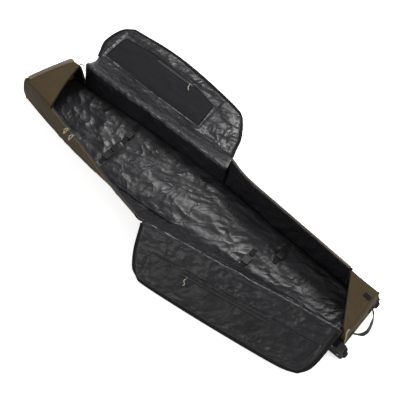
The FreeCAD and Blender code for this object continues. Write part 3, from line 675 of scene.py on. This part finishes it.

# %% [markdown]
# The far side is one length of lining. It rises from the floor, goes over the fold that acts as the hinge,
# drops to the ground and lies flat to the flap's rounded outer edge.

# %% Far side lining and skin
FAR_RAILS = [
    [(-0.798, 0.112, 0.014), (-0.4, 0.135, 0.014), (0.0585, 0.146, 0.014)],
    [(-0.803, 0.136, 0.07), (-0.4, 0.148, 0.075), (0.0585, 0.156, 0.07)],
    [(-0.818, 0.160, 0.119), (-0.4, 0.165, 0.126), (0.0585, 0.169, 0.123)],
    [(-0.823, 0.180, 0.115), (-0.4, 0.183, 0.118), (0.0555, 0.186, 0.116)],
    [(-0.830, 0.208, 0.076), (-0.4, 0.222, 0.068), (0.036, 0.222, 0.070)],
    [(-0.846, 0.262, 0.026), (-0.4, 0.272, 0.015), (0.006, 0.275, 0.018)],
    [(-0.872, 0.318, 0.007), (-0.4, 0.322, 0.006), (-0.012, 0.320, 0.007)],
    [(-0.893, 0.378, 0.0055), (-0.4, 0.38, 0.0052), (-0.028, 0.375, 0.0055)],
    at_height(0.0052, (-0.874, 0.470), (-0.6, 0.475), (-0.4, 0.465), (-0.062, 0.432)),
    at_height(0.0052, (-0.826, 0.516), (-0.6, 0.537), (-0.4, 0.530), (-0.16, 0.500), (-0.100, 0.478)),
]
FAR_POCKET_LOW = (-0.840, 0.300)
FAR_POCKET_HIGH = (-0.225, 0.478)
far_base = drape(FAR_RAILS, 118, 190)
far_calm = edge_calm(far_base, (0.02, 0.014, 0.02, 0.02))
far_calm = far_calm * inside_panel(far_base, FAR_POCKET_LOW, FAR_POCKET_HIGH)
far_laid = wrinkled(far_base, 0.007, 0.11, 2.6, 0.3, 3.0, far_calm, one_sided=True)
far_laid = wrinkled(far_laid, 0.0028, 0.04, 2.2, 1.0, 7.0, far_calm, one_sided=True)
far_lining = lining_sheet("far_lining", far_laid)


def bend_far(piece):
    """Bake the placement of a far side piece into its mesh."""
    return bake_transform(piece)


bend_far(far_lining)
declare_sheet(far_lining, far_base)
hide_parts("far_tip_wall", "far_flap_shell")

far_under = far_base - grid_normals(far_base) * 0.0042
far_outer_laid = wrinkled(far_under, -0.0012, 0.12, 2.0, 0.2, 5.0, edge_calm(far_base))
far_outer = skin_sheet("far_outer_skin", far_outer_laid)
bend_far(far_outer)
declare_sheet(far_outer, far_base)

# %% [markdown]
# Black tape binds a flap's free edge all the way round. Inside it runs the flap's half of the main zip. The
# near flap will be edged by the same function, with its own slope for up.

# %% Far flap binding and zip


def flap_edge(side, base, bound_row, zip_row, lifts, lowest, off, bend):
    """Bind the free edge of a flap from one row of its grid on, and set its zip's teeth from another."""
    border = np.vstack([base[bound_row:, 0], base[-1, 1:-1], base[bound_row:, -1][::-1]]) + off * lifts[0]
    border[:, 2] = np.maximum(border[:, 2], lowest)
    binding = band(side + "_flap_binding", border[::3], 0.017, 0.0075, BINDING, up=off)
    bend(binding)
    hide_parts(side + "_flap_zip_tape")
    inner = np.vstack([base[zip_row:-3, 3], base[-4, 4:-4], base[zip_row:-3, -4][::-1]]) + off * lifts[1]
    row = teeth(side + "_flap_zip_teeth", inner[::3], off)
    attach(row, side + "_flap")


UP = np.array((0.0, 0.0, 1.0))
flap_edge("far", far_base, 62, 66, (0, 0.0042), 0.007, UP, bend_far)

# %% [markdown]
# A dull cloth pocket covers most of the far flap. It is cut from heavier stuff, so it hardly wrinkles, and it
# is held flat along its zip, which crosses the panel near its outer edge.

# %% Far flap pocket
POCKET_LIFT = 0.0068
FAR_POCKET_RAILS = [
    at_height(POCKET_LIFT, (-0.836, 0.306), (-0.5, 0.31), (-0.232, 0.312)),
    at_height(POCKET_LIFT, (-0.834, 0.38), (-0.5, 0.385), (-0.238, 0.376)),
    at_height(POCKET_LIFT, (-0.826, 0.452), (-0.640, 0.474), (-0.400, 0.466), (-0.245, 0.440)),
]
FAR_ZIP_LOW = (-0.63, 0.447)
FAR_ZIP_HIGH = (-0.38, 0.471)
far_pocket_base = drape(FAR_POCKET_RAILS, 40, 120)
far_pocket_calm = edge_calm(far_pocket_base) * inside_panel(far_pocket_base, FAR_ZIP_LOW, FAR_ZIP_HIGH)
far_pocket_laid = wrinkled(far_pocket_base, 0.004, 0.09, 1.8, 0.3, 9.0, far_pocket_calm, one_sided=True)
far_pocket = cloth("far_flap_pocket_panel", far_pocket_laid, 0.0014, POCKET)
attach(far_pocket, "far_flap")
declare_sheet(far_pocket, far_pocket_base)
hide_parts("far_flap_pocket")

# %% [markdown]
# A hem runs round each pocket, and its zip is a strip of tape with low teeth.

# %% Far pocket hem and zip
LOW_TOOTH = (0.0022, 0.0058, 0.0012)


def pocket_edge(side, base, hem_width, hem_height, hem_finish, zip_line, off):
    """Hem, zip tape and zip teeth of a pocket, all riding on its flap."""
    edge = np.vstack([base[:, 0], base[-1, 1:-1], base[::-1, -1], base[0, ::-1]])
    hem = band(side + "_pocket_hem", edge[::4], hem_width, hem_height, hem_finish, up=off)
    tape = band(side + "_pocket_tape", zip_line, 0.02, 0.001, TAPE, up=off)
    row = teeth(side + "_pocket_teeth", np.array(zip_line) + off * 0.0008, off, LOW_TOOTH)
    for piece in (hem, tape, row):
        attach(piece, side + "_flap")
    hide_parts(side + "_pocket_zip")


pocket_edge("far", far_pocket_base, 0.009, 0.0042, BINDING,
            at_height(0.0086, (-0.62, 0.459), (-0.5, 0.459), (-0.39, 0.459)), UP)

# %% [markdown]
# The walls that still stand are each a lining inside and a canvas skin outside, a few millimetres apart.
# One function makes both from the same rails, so that they can never cross.

# %% Standing walls
SKIN_GAP = 0.006


def skin_pair(name, rails, across, along, inner_wrinkle, outer_wrinkle, seed):
    """A lining and an outer skin on the same rails: the unwrinkled grid and the two pieces."""
    base = drape(rails, across, along)
    calm = edge_calm(base, (0.01, 0.012, 0.01, 0.01))
    inner = wrinkled(base, inner_wrinkle, 0.06, 2.0, 1.1, seed, calm, one_sided=True)
    lining = lining_sheet(name + "_lining", inner)
    outside = wrinkled(base - grid_normals(base) * SKIN_GAP, -outer_wrinkle, 0.07, 2.4, 1.0, seed + 2, calm,
                       one_sided=True)
    skin = skin_sheet(name + "_skin", outside)
    declare_sheet(lining, base)
    declare_sheet(skin, base)
    return base, lining, skin


NEAR_TIP_RAILS = [
    [(-0.112, -0.178, 0.005), (-0.28, -0.188, 0.005), (-0.45, -0.188, 0.005), (-0.6, -0.174, 0.005),
     (-0.745, -0.152, 0.005)],
    [(-0.112, -0.228, 0.072), (-0.28, -0.222, 0.085), (-0.45, -0.203, 0.10), (-0.6, -0.178, 0.10),
     (-0.745, -0.151, 0.10)],
    [(-0.112, -0.268, 0.132), (-0.28, -0.242, 0.160), (-0.45, -0.203, 0.190), (-0.6, -0.169, 0.1955),
     (-0.745, -0.138, 0.199)],
]
near_tip_base, *near_tip_pair = skin_pair("near_tip_wall", NEAR_TIP_RAILS, 30, 120, 0.008, 0.006, 21.0)


def bend_tip_wall(piece):
    """Bake the placement of a tip wall piece into its mesh."""
    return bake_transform(piece)


for piece in near_tip_pair:
    bend_tip_wall(piece)
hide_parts("near_tip_wall")

FAR_WHEEL_RAILS = [
    [(0.062, 0.150, 0.005), (0.18, 0.146, 0.005), (0.42, 0.132, 0.005), (0.80, 0.120, 0.005)],
    [(0.062, 0.176, 0.10), (0.18, 0.157, 0.10), (0.42, 0.141, 0.10), (0.80, 0.121, 0.10)],
    [(0.064, 0.194, 0.199), (0.18, 0.165, 0.199), (0.42, 0.147, 0.199), (0.80, 0.121, 0.199)],
]
far_wheel_base, *far_wheel_pair = skin_pair("far_wheel_wall", FAR_WHEEL_RAILS, 30, 120, 0.008, 0.004, 31.0)
for piece in far_wheel_pair:
    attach(piece, "bag_base")
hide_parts("far_wheel_wall")
print("walls", near_tip_base.shape, far_wheel_base.shape)

# %% [markdown]
# A narrow web closes the corner where the laid-out side ends and the standing wall begins.

# %% Corner web
WEB_RAILS = [
    [(0.0592, 0.144, 0.006), (0.0592, 0.156, 0.07), (0.0592, 0.166, 0.121)],
    [(0.0625, 0.153, 0.006), (0.0625, 0.178, 0.10), (0.0640, 0.196, 0.197)],
]
web_grid = drape(WEB_RAILS, 10, 30)
web = lining_sheet("far_corner_web", web_grid)
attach(web, "bag_base")
declare_sheet(web, web_grid)

# %% [markdown]
# Each wall's top edge carries a pale canvas rim, the zip tape above it and the zip's teeth. Next to the wheel
# cap the zip sinks into its rim, so that the closed flap lies over it.

# %% Rims and zips on the walls
SINK_START = 0.55
SINK_LENGTH = 0.12
SINK_DEPTH = 0.0062


def wall_top(name, top_edge, outward, replaced):
    """Rim band, tape and teeth along a wall's top edge."""
    lift = np.array((0, 0, 0.0055))
    side = np.array(outward)
    rim = band(name + "_rim", top_edge + side * 0.003, 0.011, 0.012, RIM)
    tape = band(name + "_zip_tape", top_edge + lift, 0.0016, 0.009, TAPE)
    row = teeth(name + "_zip_teeth", top_edge + lift * 1.75, (0, 0, 1))
    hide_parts(replaced)
    return rim, tape, row


for piece in wall_top("near_tip_wall", near_tip_base[-1][::3], (0, -1, 0), "near_wall_zip_tape"):
    bend_tip_wall(piece)
far_top = wall_top("far_wheel_wall", far_wheel_base[-1][::3], (0, 1, 0), "far_wall_zip_tape")
for piece in far_top[1:]:
    for vertex in piece.data.vertices:
        vertex.co.z -= SINK_DEPTH * min(1.0, max(0.0, (vertex.co.x - SINK_START) / SINK_LENGTH))
for piece in far_top:
    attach(piece, "bag_base")

# %% [markdown]
# In the wheel half the near wall folds down along a slanting crease that runs from the middle of the floor
# up to the wheel cap. The part below the crease stays; the part above it lays out with the flap. The grid
# follows both flat parts and has its own row of points on the crease.

# %% Near wall of the wheel half
CREASE_LOW = Vector((-0.06, -0.175, 0.0045))
RIDGE_CAP = Vector((0.93, -0.115, 0.172))
RIDGE_MID = Vector((-0.06, -0.28, 0.145))
FLOOR_END = Vector((0.93, -0.128, 0.0045))


def straight_column(points, count):
    """Even points on a run of straight pieces."""
    given = np.array(points, float)
    reach = np.concatenate([[0], np.cumsum(np.linalg.norm(np.diff(given, axis=0), axis=1))])
    want = np.linspace(0, reach[-1], count)
    return np.stack([np.interp(want, reach, given[:, k]) for k in range(3)], 1)


def folded_wall(across, along):
    """The near wall of the wheel half, as columns that each bend on the crease."""
    columns = []
    for share in np.linspace(0, 1, along):
        low = FLOOR_END.lerp(CREASE_LOW, share)
        crease = RIDGE_CAP.lerp(CREASE_LOW, share)
        high = RIDGE_CAP.lerp(RIDGE_MID, share)
        columns.append(straight_column([low, crease, high], across))
    return np.array(columns).transpose(1, 0, 2)


near_wall_base = folded_wall(34, 170)
near_wall_calm = edge_calm(near_wall_base, (0.012, 0.02, 0.02, 0.02))
near_wall_out = grid_normals(near_wall_base)
near_wall_inner = wrinkled(near_wall_base + near_wall_out * 0.002, 0.010, 0.07, 2.2, 0.5, 41.0,
                           near_wall_calm, one_sided=True)
near_wall_lining = lining_sheet("near_wheel_wall_lining", near_wall_inner)
near_wall_outer = wrinkled(near_wall_base - near_wall_out * 0.0035, -0.003, 0.09, 2.2, 0.5, 43.0,
                           near_wall_calm, one_sided=True)
near_wall_skin = skin_sheet("near_wheel_wall_skin", near_wall_outer)
for piece in (near_wall_lining, near_wall_skin):
    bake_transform(piece)
    declare_sheet(piece, near_wall_base)
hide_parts("near_wall_gusset", "near_wheel_wall")

# %% [markdown]
# The near flap hangs from the ridge of that wall and slopes to the ground. Its own plane gives the easiest
# way to draw it: one direction along the ridge, one down the slope, and one square to both.

# %% Near flap
ALONG = Vector((-0.986, -0.1643, -0.0269))
DOWN = Vector((0.1523, -0.8243, -0.5453))
OFF = Vector((0.0675, -0.5418, 0.8378))


def on_flap(along, down, off=0.0):
    """The point this far along the ridge, down the slope and off the flap's plane."""
    return tuple(RIDGE_CAP + ALONG * along + DOWN * down + OFF * off)


NEAR_FLAP_RAILS = [
    [(0.925, -0.117, 0.156), (0.5, -0.1795, 0.140), (-0.05, -0.268, 0.127)],
    [on_flap(0.008, 0.0, 0.001), on_flap(0.5, 0.0, 0.003), on_flap(1.002, 0.0, 0.001)],
    [on_flap(0.014, 0.022), on_flap(0.5, 0.024), on_flap(0.998, 0.022)],
    [on_flap(0.028, 0.130), on_flap(0.5, 0.130), on_flap(0.979, 0.130)],
    [on_flap(0.052, 0.212), on_flap(0.5, 0.212), on_flap(0.950, 0.205)],
    [on_flap(0.092, 0.258), on_flap(0.2, 0.272), on_flap(0.56, 0.266), on_flap(0.87, 0.250),
     on_flap(0.918, 0.232)],
]
near_flap_base = drape(NEAR_FLAP_RAILS, 70, 176)
print("near flap grid", near_flap_base.shape)

# %% [markdown]
# The lining is calm where the pocket lies on it: between two distances down the slope and two along the
# ridge.

# %% Near flap lining and skin


def flap_slope(grid):
    """Distance down the slope of every point of a grid."""
    return (grid - np.array(RIDGE_CAP)) @ np.array(DOWN)


POCKET_TOP = 0.105
POCKET_FOOT = 0.2
POCKET_START = 0.058
POCKET_STOP = 0.912
slope = flap_slope(near_flap_base)
reach = (near_flap_base - np.array(RIDGE_CAP)) @ np.array(ALONG)
free = np.clip(np.maximum.reduce([(POCKET_TOP - slope) / 0.012, (POCKET_START - reach) / 0.01,
                                  (reach - POCKET_STOP) / 0.01, (slope - POCKET_FOOT) / 0.03]), 0, 1)
near_flap_calm = edge_calm(near_flap_base, (0.01, 0.03, 0.03, 0.02)) * free
near_flap_out = grid_normals(near_flap_base) * 0.0015
near_flap_laid = wrinkled(near_flap_base + near_flap_out, 0.009, 0.07, 2.4, 0.2, 51.0, near_flap_calm,
                          one_sided=True)
near_flap_lining = lining_sheet("near_flap_lining", near_flap_laid)
near_flap_under = wrinkled(near_flap_base - near_flap_out, -0.001, 0.12, 2.0, 0.2, 53.0,
                           edge_calm(near_flap_base))
near_flap_skin = skin_sheet("near_flap_skin", near_flap_under)


def bend_near(piece):
    """Bake the placement of a near flap piece into its mesh."""
    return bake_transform(piece)


for piece in (near_flap_lining, near_flap_skin):
    bend_near(piece)
    declare_sheet(piece, near_flap_base)
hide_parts("near_flap_shell")

flap_edge("near", near_flap_base, 8, 14, (0.002, 0.0048), 0.006, np.array(OFF), bend_near)

# %% [markdown]
# The near flap's pocket is of a shinier cloth and lies lower on the flap; its zip is close to its upper edge.

# %% Near flap pocket
NEAR_ZIP = 0.126
NEAR_LIFT = 0.0042
NEAR_POCKET_RAILS = [
    [on_flap(0.062, 0.110, NEAR_LIFT), on_flap(0.5, 0.108, NEAR_LIFT), on_flap(0.905, 0.110, NEAR_LIFT)],
    [on_flap(0.086, 0.170, NEAR_LIFT), on_flap(0.5, 0.170, NEAR_LIFT), on_flap(0.882, 0.165, NEAR_LIFT)],
    [on_flap(0.114, 0.224, NEAR_LIFT), on_flap(0.5, 0.232, NEAR_LIFT), on_flap(0.862, 0.214, NEAR_LIFT)],
]
near_pocket_base = drape(NEAR_POCKET_RAILS, 28, 130)
near_pocket_gap = np.clip((np.abs(flap_slope(near_pocket_base) - NEAR_ZIP) - 0.012) / 0.012, 0, 1)
near_pocket_laid = wrinkled(near_pocket_base, 0.004, 0.08, 1.8, 0.3, 59.0,
                            edge_calm(near_pocket_base) * near_pocket_gap, one_sided=True)
near_pocket = cloth("near_flap_pocket_panel", near_pocket_laid, 0.0014, NEAR_POCKET)
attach(near_pocket, "near_flap")
declare_sheet(near_pocket, near_pocket_base)
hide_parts("near_flap_pocket")
pocket_edge("near", near_pocket_base, 0.007, 0.003, NEAR_POCKET,
            [on_flap(along, NEAR_ZIP, 0.0054) for along in (0.30, 0.52, 0.74)], np.array(OFF))

# %% [markdown]
# Between the standing tip wall and the laid-out wheel wall a short fan of cloth takes up the difference.

# %% Fan in the near wall
FAN_RAILS = [
    [(-0.048, -0.172, 0.006), (-0.085, -0.176, 0.006), (-0.125, -0.180, 0.006)],
    [(-0.048, -0.218, 0.072), (-0.085, -0.226, 0.068), (-0.125, -0.228, 0.074)],
    [(-0.048, -0.266, 0.134), (-0.085, -0.277, 0.134), (-0.125, -0.266, 0.132)],
]
for piece in skin_pair("near_fan", FAN_RAILS, 26, 18, 0.006, 0.003, 61.0)[1:]:
    bend_tip_wall(piece)

# %% [markdown]
# The floor has the same crinkled lining, laid loose over the board and the foam and flat under the straps. A
# coated cloth closes the bag from below, as far as the moulded skid plate at the wheel end.

# %% Floor lining and base
STRAP_SPOTS = (("tip_near", -0.455, -0.088), ("tip_far", -0.445, 0.062), ("wheel_near", 0.385, -0.072),
               ("wheel_far", 0.490, 0.050))
STRAP_REACH = (0.02, 0.066)
FLOOR_RAILS = [
    at_height(0.0125, (-0.95, -0.100), (-0.76, -0.146), (-0.45, -0.184), (-0.2, -0.184))
    + [(0.06, -0.163, 0.0110), (0.42, -0.147, 0.0100), (0.925, -0.122, 0.0100)],
    at_height(0.0105, (-0.925, -0.03), (-0.4, -0.03), (0.2, -0.03), (0.945, -0.03)),
    at_height(0.0105, (-0.89, 0.04), (-0.4, 0.05), (0.2, 0.05), (0.945, 0.05)),
    at_height(0.0125, (-0.86, 0.110), (-0.78, 0.116), (-0.4, 0.138), (0.0, 0.150), (0.4, 0.128),
              (0.86, 0.110)),
]
floor_base = drape(FLOOR_RAILS, 44, 260)
floor_calm = edge_calm(floor_base)
for _, x, y in STRAP_SPOTS:
    near_corner = (x - STRAP_REACH[0], y - STRAP_REACH[1])
    far_corner = (x + STRAP_REACH[0], y + STRAP_REACH[1])
    floor_calm = floor_calm * inside_panel(floor_base, near_corner, far_corner)
floor_laid = wrinkled(floor_base, 0.006, 0.13, 3.0, 0.15, 71.0, floor_calm, one_sided=True)
floor_lining = cloth("floor_lining_cloth", floor_laid, 0.0009, LINING)
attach(floor_lining, "bag_base")
declare_sheet(floor_lining, floor_base)
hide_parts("floor_lining")

BASE_HEIGHT = 0.0022
BASE_RAILS = [
    at_height(BASE_HEIGHT, (-0.972, -0.116), (-0.76, -0.156), (-0.45, -0.194), (-0.2, -0.194), (0.06, -0.173),
              (0.42, -0.157), (0.835, -0.136)),
    at_height(BASE_HEIGHT, (-0.93, 0.0), (-0.4, -0.02), (0.3, 0.0), (0.835, 0.0)),
    at_height(BASE_HEIGHT, (-0.868, 0.122), (-0.78, 0.128), (-0.4, 0.150), (0.0, 0.163), (0.4, 0.140),
              (0.835, 0.128)),
]
base_grid = drape(BASE_RAILS, 24, 120)
base_skin = cloth("base_skin", base_grid, 0.0030, UNDERSIDE)
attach(base_skin, "bag_base")
declare_sheet(base_skin, base_grid)
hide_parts("floor_panel")

# %% [markdown]
# The two end caps are padded boots of canvas. One sheet goes up one side, over the top and down the other;
# a second panel closes the end between its edges. The mouth is left open, and a black facing lines it.

# %% End caps
CAP_ROWS = 90
TOP_POINTS = 40
PANEL_ROWS = 34


def end_panel(edge, first_corner, last_corner, bulge):
    """A grid that closes a cap's end; the edge runs up one side, across the top and down the other."""
    left = smooth_curve(edge[:first_corner + 1], PANEL_ROWS)
    top = smooth_curve(edge[first_corner:last_corner + 1], TOP_POINTS)
    right = smooth_curve(edge[last_corner:][::-1], PANEL_ROWS)
    low = np.linspace(edge[0], edge[-1], TOP_POINTS)
    up = np.linspace(0, 1, PANEL_ROWS)[:, None, None]
    over = np.linspace(0, 1, TOP_POINTS)[None, :, None]
    ruled = (1 - up) * low[None] + up * top[None] + (1 - over) * left[:, None] + over * right[:, None]
    corners = ((1 - up) * (1 - over) * edge[0] + (1 - up) * over * edge[-1] + up * (1 - over) * top[0]
               + up * over * top[-1])
    panel = ruled - corners
    swell = np.sin(math.pi * up) * np.sin(math.pi * over)
    return panel + swell * np.array(bulge)


def canvas_cap(name, rails, corners, bulge, seed, facing):
    """A padded cap: wrap, end panel, black facing and mouth binding. Returns its end edge and the corners."""
    base = drape(rails, CAP_ROWS, 60)
    calm = edge_calm(base, (0.03, 0.03, 0.03, 0.012))
    laid = wrinkled(base, 0.0035, 0.12, 1.8, 0.9, seed, calm)
    wrap = cloth(name + "_wrap", laid, 0.005, OLIVE, side=-1)
    ends = [int(round(c * (CAP_ROWS - 1))) for c in corners]
    edge = base[:, 0]
    panel_grid = end_panel(edge, *ends, bulge)
    panel = cloth(name + "_end_panel", panel_grid, 0.004, OLIVE, side=-1, flip=True)
    outward = grid_normals(base)
    inside = (base - outward * 0.0075)[2:-2, 6:]
    lining = lining_sheet(name + "_facing", inside, flip=True)
    declare_sheet(lining, inside)
    mouth_path = (base[:, -1] - outward[:, -1] * 0.0045)[::3]
    mouth = band(name + "_mouth_binding", mouth_path, 0.009, 0.008, BINDING, up=facing)
    for piece in (wrap, panel, lining, mouth):
        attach(piece, "bag_base")
    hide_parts(name)
    print(name, "wrap", base.shape, "panel", panel_grid.shape)
    return edge, ends


TIP_CAP_RAILS = [
    [(-0.971, -0.116, 0.002), (-0.742, -0.158, 0.002)],
    [(-0.962, -0.121, 0.10), (-0.744, -0.156, 0.10)],
    [(-0.948, -0.112, 0.186), (-0.748, -0.143, 0.187)],
    [(-0.938, -0.097, 0.203), (-0.755, -0.124, 0.2035)],
    [(-0.900, 0.0, 0.204), (-0.786, -0.01, 0.200)],
    [(-0.858, 0.095, 0.203), (-0.799, 0.096, 0.2035)],
    [(-0.853, 0.112, 0.188), (-0.797, 0.115, 0.189)],
    [(-0.861, 0.120, 0.10), (-0.796, 0.122, 0.10)],
    [(-0.867, 0.122, 0.002), (-0.795, 0.124, 0.002)],
]
tip_edge, tip_ends = canvas_cap("tip_cap", TIP_CAP_RAILS, (0.335, 0.70), (-0.006, 0.003, 0), 81.0, (1, 0, 0))

# %% [markdown]
# The tip cap's top end edge is rolled over into a thick hem of the paler olive binding.

# %% Rolled hem of the tip cap
roll_path = tip_edge[tip_ends[0]:tip_ends[1] + 1] + np.array((0.006, 0.0, 0.001))
roll = band("tip_cap_rolled_hem", roll_path[::2], 0.022, 0.014, RIM)
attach(roll, "bag_base")
for side, edge in (("near", tip_edge[:tip_ends[0] + 1]), ("far", tip_edge[tip_ends[1]:])):
    seam = band(f"tip_cap_{side}_piping", edge[::2], 0.006, 0.006, RIM, up=(-1, 0, 0))
    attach(seam, "bag_base")
print("rolled hem", len(roll_path), "points")

# %% [markdown]
# The wheel cap is higher on its far side, where the closed flap ends. A pale piping follows its lower near
# corner down to the wheel, and a short stitched tab sits on its top.

# %% Wheel cap
WHEEL_CAP_RAILS = [
    [(0.961, 0.123, 0.003), (0.797, 0.127, 0.003)],
    [(0.957, 0.120, 0.10), (0.797, 0.124, 0.10)],
    [(0.951, 0.114, 0.186), (0.797, 0.118, 0.189)],
    [(0.944, 0.100, 0.2005), (0.806, 0.104, 0.2015)],
    [(0.950, 0.0, 0.184), (0.866, 0.0, 0.182)],
    [(0.948, -0.102, 0.166), (0.928, -0.106, 0.168)],
    [(0.953, -0.114, 0.152), (0.936, -0.117, 0.156)],
    [(0.959, -0.121, 0.09), (0.937, -0.123, 0.09)],
    [(0.962, -0.124, 0.003), (0.937, -0.128, 0.003)],
]
cap_edge, cap_ends = canvas_cap("wheel_cap", WHEEL_CAP_RAILS, (0.31, 0.69), (0.005, 0, 0), 91.0, (-1, 0, 0))
top_path = cap_edge[cap_ends[0]:cap_ends[1] + 1][::2]
cap_seam = band("wheel_cap_top_seam", top_path, 0.005, 0.005, OLIVE)
piping_path = cap_edge[cap_ends[1]:][::2]
corner_piping = band("wheel_cap_corner_piping", piping_path, 0.006, 0.006, CORD, up=(1, 0, 0))
tab_path = [(0.905, 0.070, 0.1992), (0.922, 0.068, 0.1988), (0.938, 0.066, 0.1978)]
tab = band("wheel_cap_tab", tab_path, 0.020, 0.003, BINDING)
for piece in (cap_seam, corner_piping, tab):
    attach(piece, "bag_base")

# %% [markdown]
# The grab handle is a loop of webbing between two stitched patches on the end panel. Its ends are rounded
# about its swing axis, so that it turns freely in front of the patches; its outer part leans back and shows
# its flat side.

# %% Grab handle
HANDLE_Z = 0.092
SWING_X = 0.9773
END_REACH = 0.0127
LEAN = 0.55
handle_path = at_height(HANDLE_Z, (0.9665, -0.0685), (0.982, -0.060), (1.0005, -0.044), (1.0075, -0.018),
                        (1.000, 0.019), (0.986, 0.0535), (0.9665, 0.0725))
handle = band("end_handle_loop", handle_path, 0.0035, 0.024, WEBBING, spacing=0.003)
for vertex in handle.data.vertices:
    behind = min(1.0, max(0.0, (SWING_X - vertex.co.x) / END_REACH))
    vertex.co.z = HANDLE_Z + (vertex.co.z - HANDLE_Z) * math.sqrt(1 - behind**2)
    leaning = min(1.0, max(0.0, (vertex.co.x - SWING_X - 0.006) / 0.015))
    vertex.co.x -= (vertex.co.z - HANDLE_Z) * LEAN * leaning
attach(handle, "end_handle")
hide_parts("end_handle_webbing")
for index, y in enumerate((-0.068, 0.072)):
    patch_path = at_height(HANDLE_Z, (0.9625, y - 0.017), (0.9632, y), (0.9625, y + 0.017))
    patch = band(f"handle_patch_{index + 1}", patch_path, 0.003, 0.032, BINDING, spacing=0.002)
    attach(patch, "bag_base")
    if index == 0:
        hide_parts("handle_anchors")
print("handle height", HANDLE_Z)

# %% [markdown]
# Four straps hold the skis. Each is a strip of webbing sewn to the floor at both ends, with a side-release
# buckle between; the loose tail moves with the buckle's prong.

# %% Straps
LAY = 0.0125
STRAP_WIDTH = 0.025
for name, x, y in STRAP_SPOTS:
    held_path = [(x, y - 0.060, LAY), (x, y - 0.044, LAY + 0.0006), (x, y - 0.034, LAY + 0.003),
                 (x, y - 0.026, LAY + 0.0036)]
    held = band(f"{name}_strap_cloth", held_path, STRAP_WIDTH, 0.0022, WEBBING, spacing=0.003)
    sewn_path = at_height(LAY, (x, y + 0.036), (x, y + 0.048), (x, y + 0.060))
    sewn = band(f"{name}_strap_end_cloth", sewn_path, STRAP_WIDTH, 0.0018, WEBBING, spacing=0.003)
    tail_path = [(x, y + 0.0245, LAY + 0.0034), (x, y + 0.034, LAY + 0.0032), (x, y + 0.047, LAY + 0.0026)]
    tail = band(f"{name}_tail_cloth", tail_path, 0.0245, 0.002, WEBBING, spacing=0.003)
    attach(held, "bag_base")
    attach(sewn, "bag_base")
    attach(tail, f"{name}_clip")
    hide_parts(f"{name}_strap")
    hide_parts(f"{name}_strap_tail")
print(len(STRAP_SPOTS), "straps")

# %% [markdown]
# The zip sliders end in loops of pale cord, knotted at the free end, that hang down the outside of the wall.

# %% Zip pulls
CORD_SIZE = 0.0042


def pull_loop(name, node, body):
    """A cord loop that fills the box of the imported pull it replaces."""
    low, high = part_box(node)
    mid_x = (low.x + high.x) / 2
    half = (high.x - low.x) / 2 - 0.0015
    near_y, far_y = low.y + 0.004, high.y
    top_z, low_z = high.z - 0.006, low.z + 0.004
    side = half * 0.7
    mid_y, mid_z = (near_y + far_y) / 2, (top_z + low_z) / 2
    path = [(mid_x - 0.0024, far_y, low_z + 0.003), (mid_x - half, mid_y, top_z),
            (mid_x - side, near_y + 0.006, mid_z), (mid_x, near_y, low_z),
            (mid_x + side, near_y + 0.006, mid_z), (mid_x + half, mid_y, top_z),
            (mid_x + 0.0024, far_y, low_z + 0.003)]
    line = smooth_curve(path, 40)
    loop = band(name + "_cord", line, CORD_SIZE, CORD_SIZE, CORD, even=False)
    knot_path = [(mid_x, near_y + 0.007, low_z + 0.003), (mid_x, near_y + 0.003, low_z),
                 (mid_x, near_y - 0.003, low_z - 0.002)]
    knot = band(name + "_knot", knot_path, 0.008, 0.008, CORD, spacing=0.002)
    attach(loop, body)
    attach(knot, body)
    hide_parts(node)


pull_loop("slider_a", "near_slider_a_pull", "slider_a_pull")
pull_loop("slider_b", "near_slider_b_pull", "slider_b_pull")

# %% [markdown]
# The other zips end in short flat tabs: one by the tip cap, and one on each pocket's slider.

# %% Small pulls
TIP_TAB = [(-0.800, 0.112, 0.209), (-0.790, 0.117, 0.2125), (-0.778, 0.121, 0.210)]
FAR_TAB = [(-0.408, 0.4525, 0.0112), (-0.404, 0.438, 0.0125), (-0.392, 0.426, 0.0115)]
NEAR_TAB = [on_flap(0.707, 0.133, 0.0098), on_flap(0.712, 0.145, 0.0108), on_flap(0.703, 0.157, 0.0108),
            on_flap(0.708, 0.168, 0.0100)]
for name, path, width, height, up, body in (
        ("tip_zip_end_pull", TIP_TAB, 0.007, 0.003, UP, "bag_base"),
        ("far_pocket_pull", FAR_TAB, 0.005, 0.002, UP, "far_pocket_slider"),
        ("near_pocket_pull", NEAR_TAB, 0.0045, 0.002, OFF, "near_pocket_slider")):
    pull = band(name, path, width, height, CORD, up=up, spacing=0.002)
    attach(pull, body)
    print(name, "rides on", body)
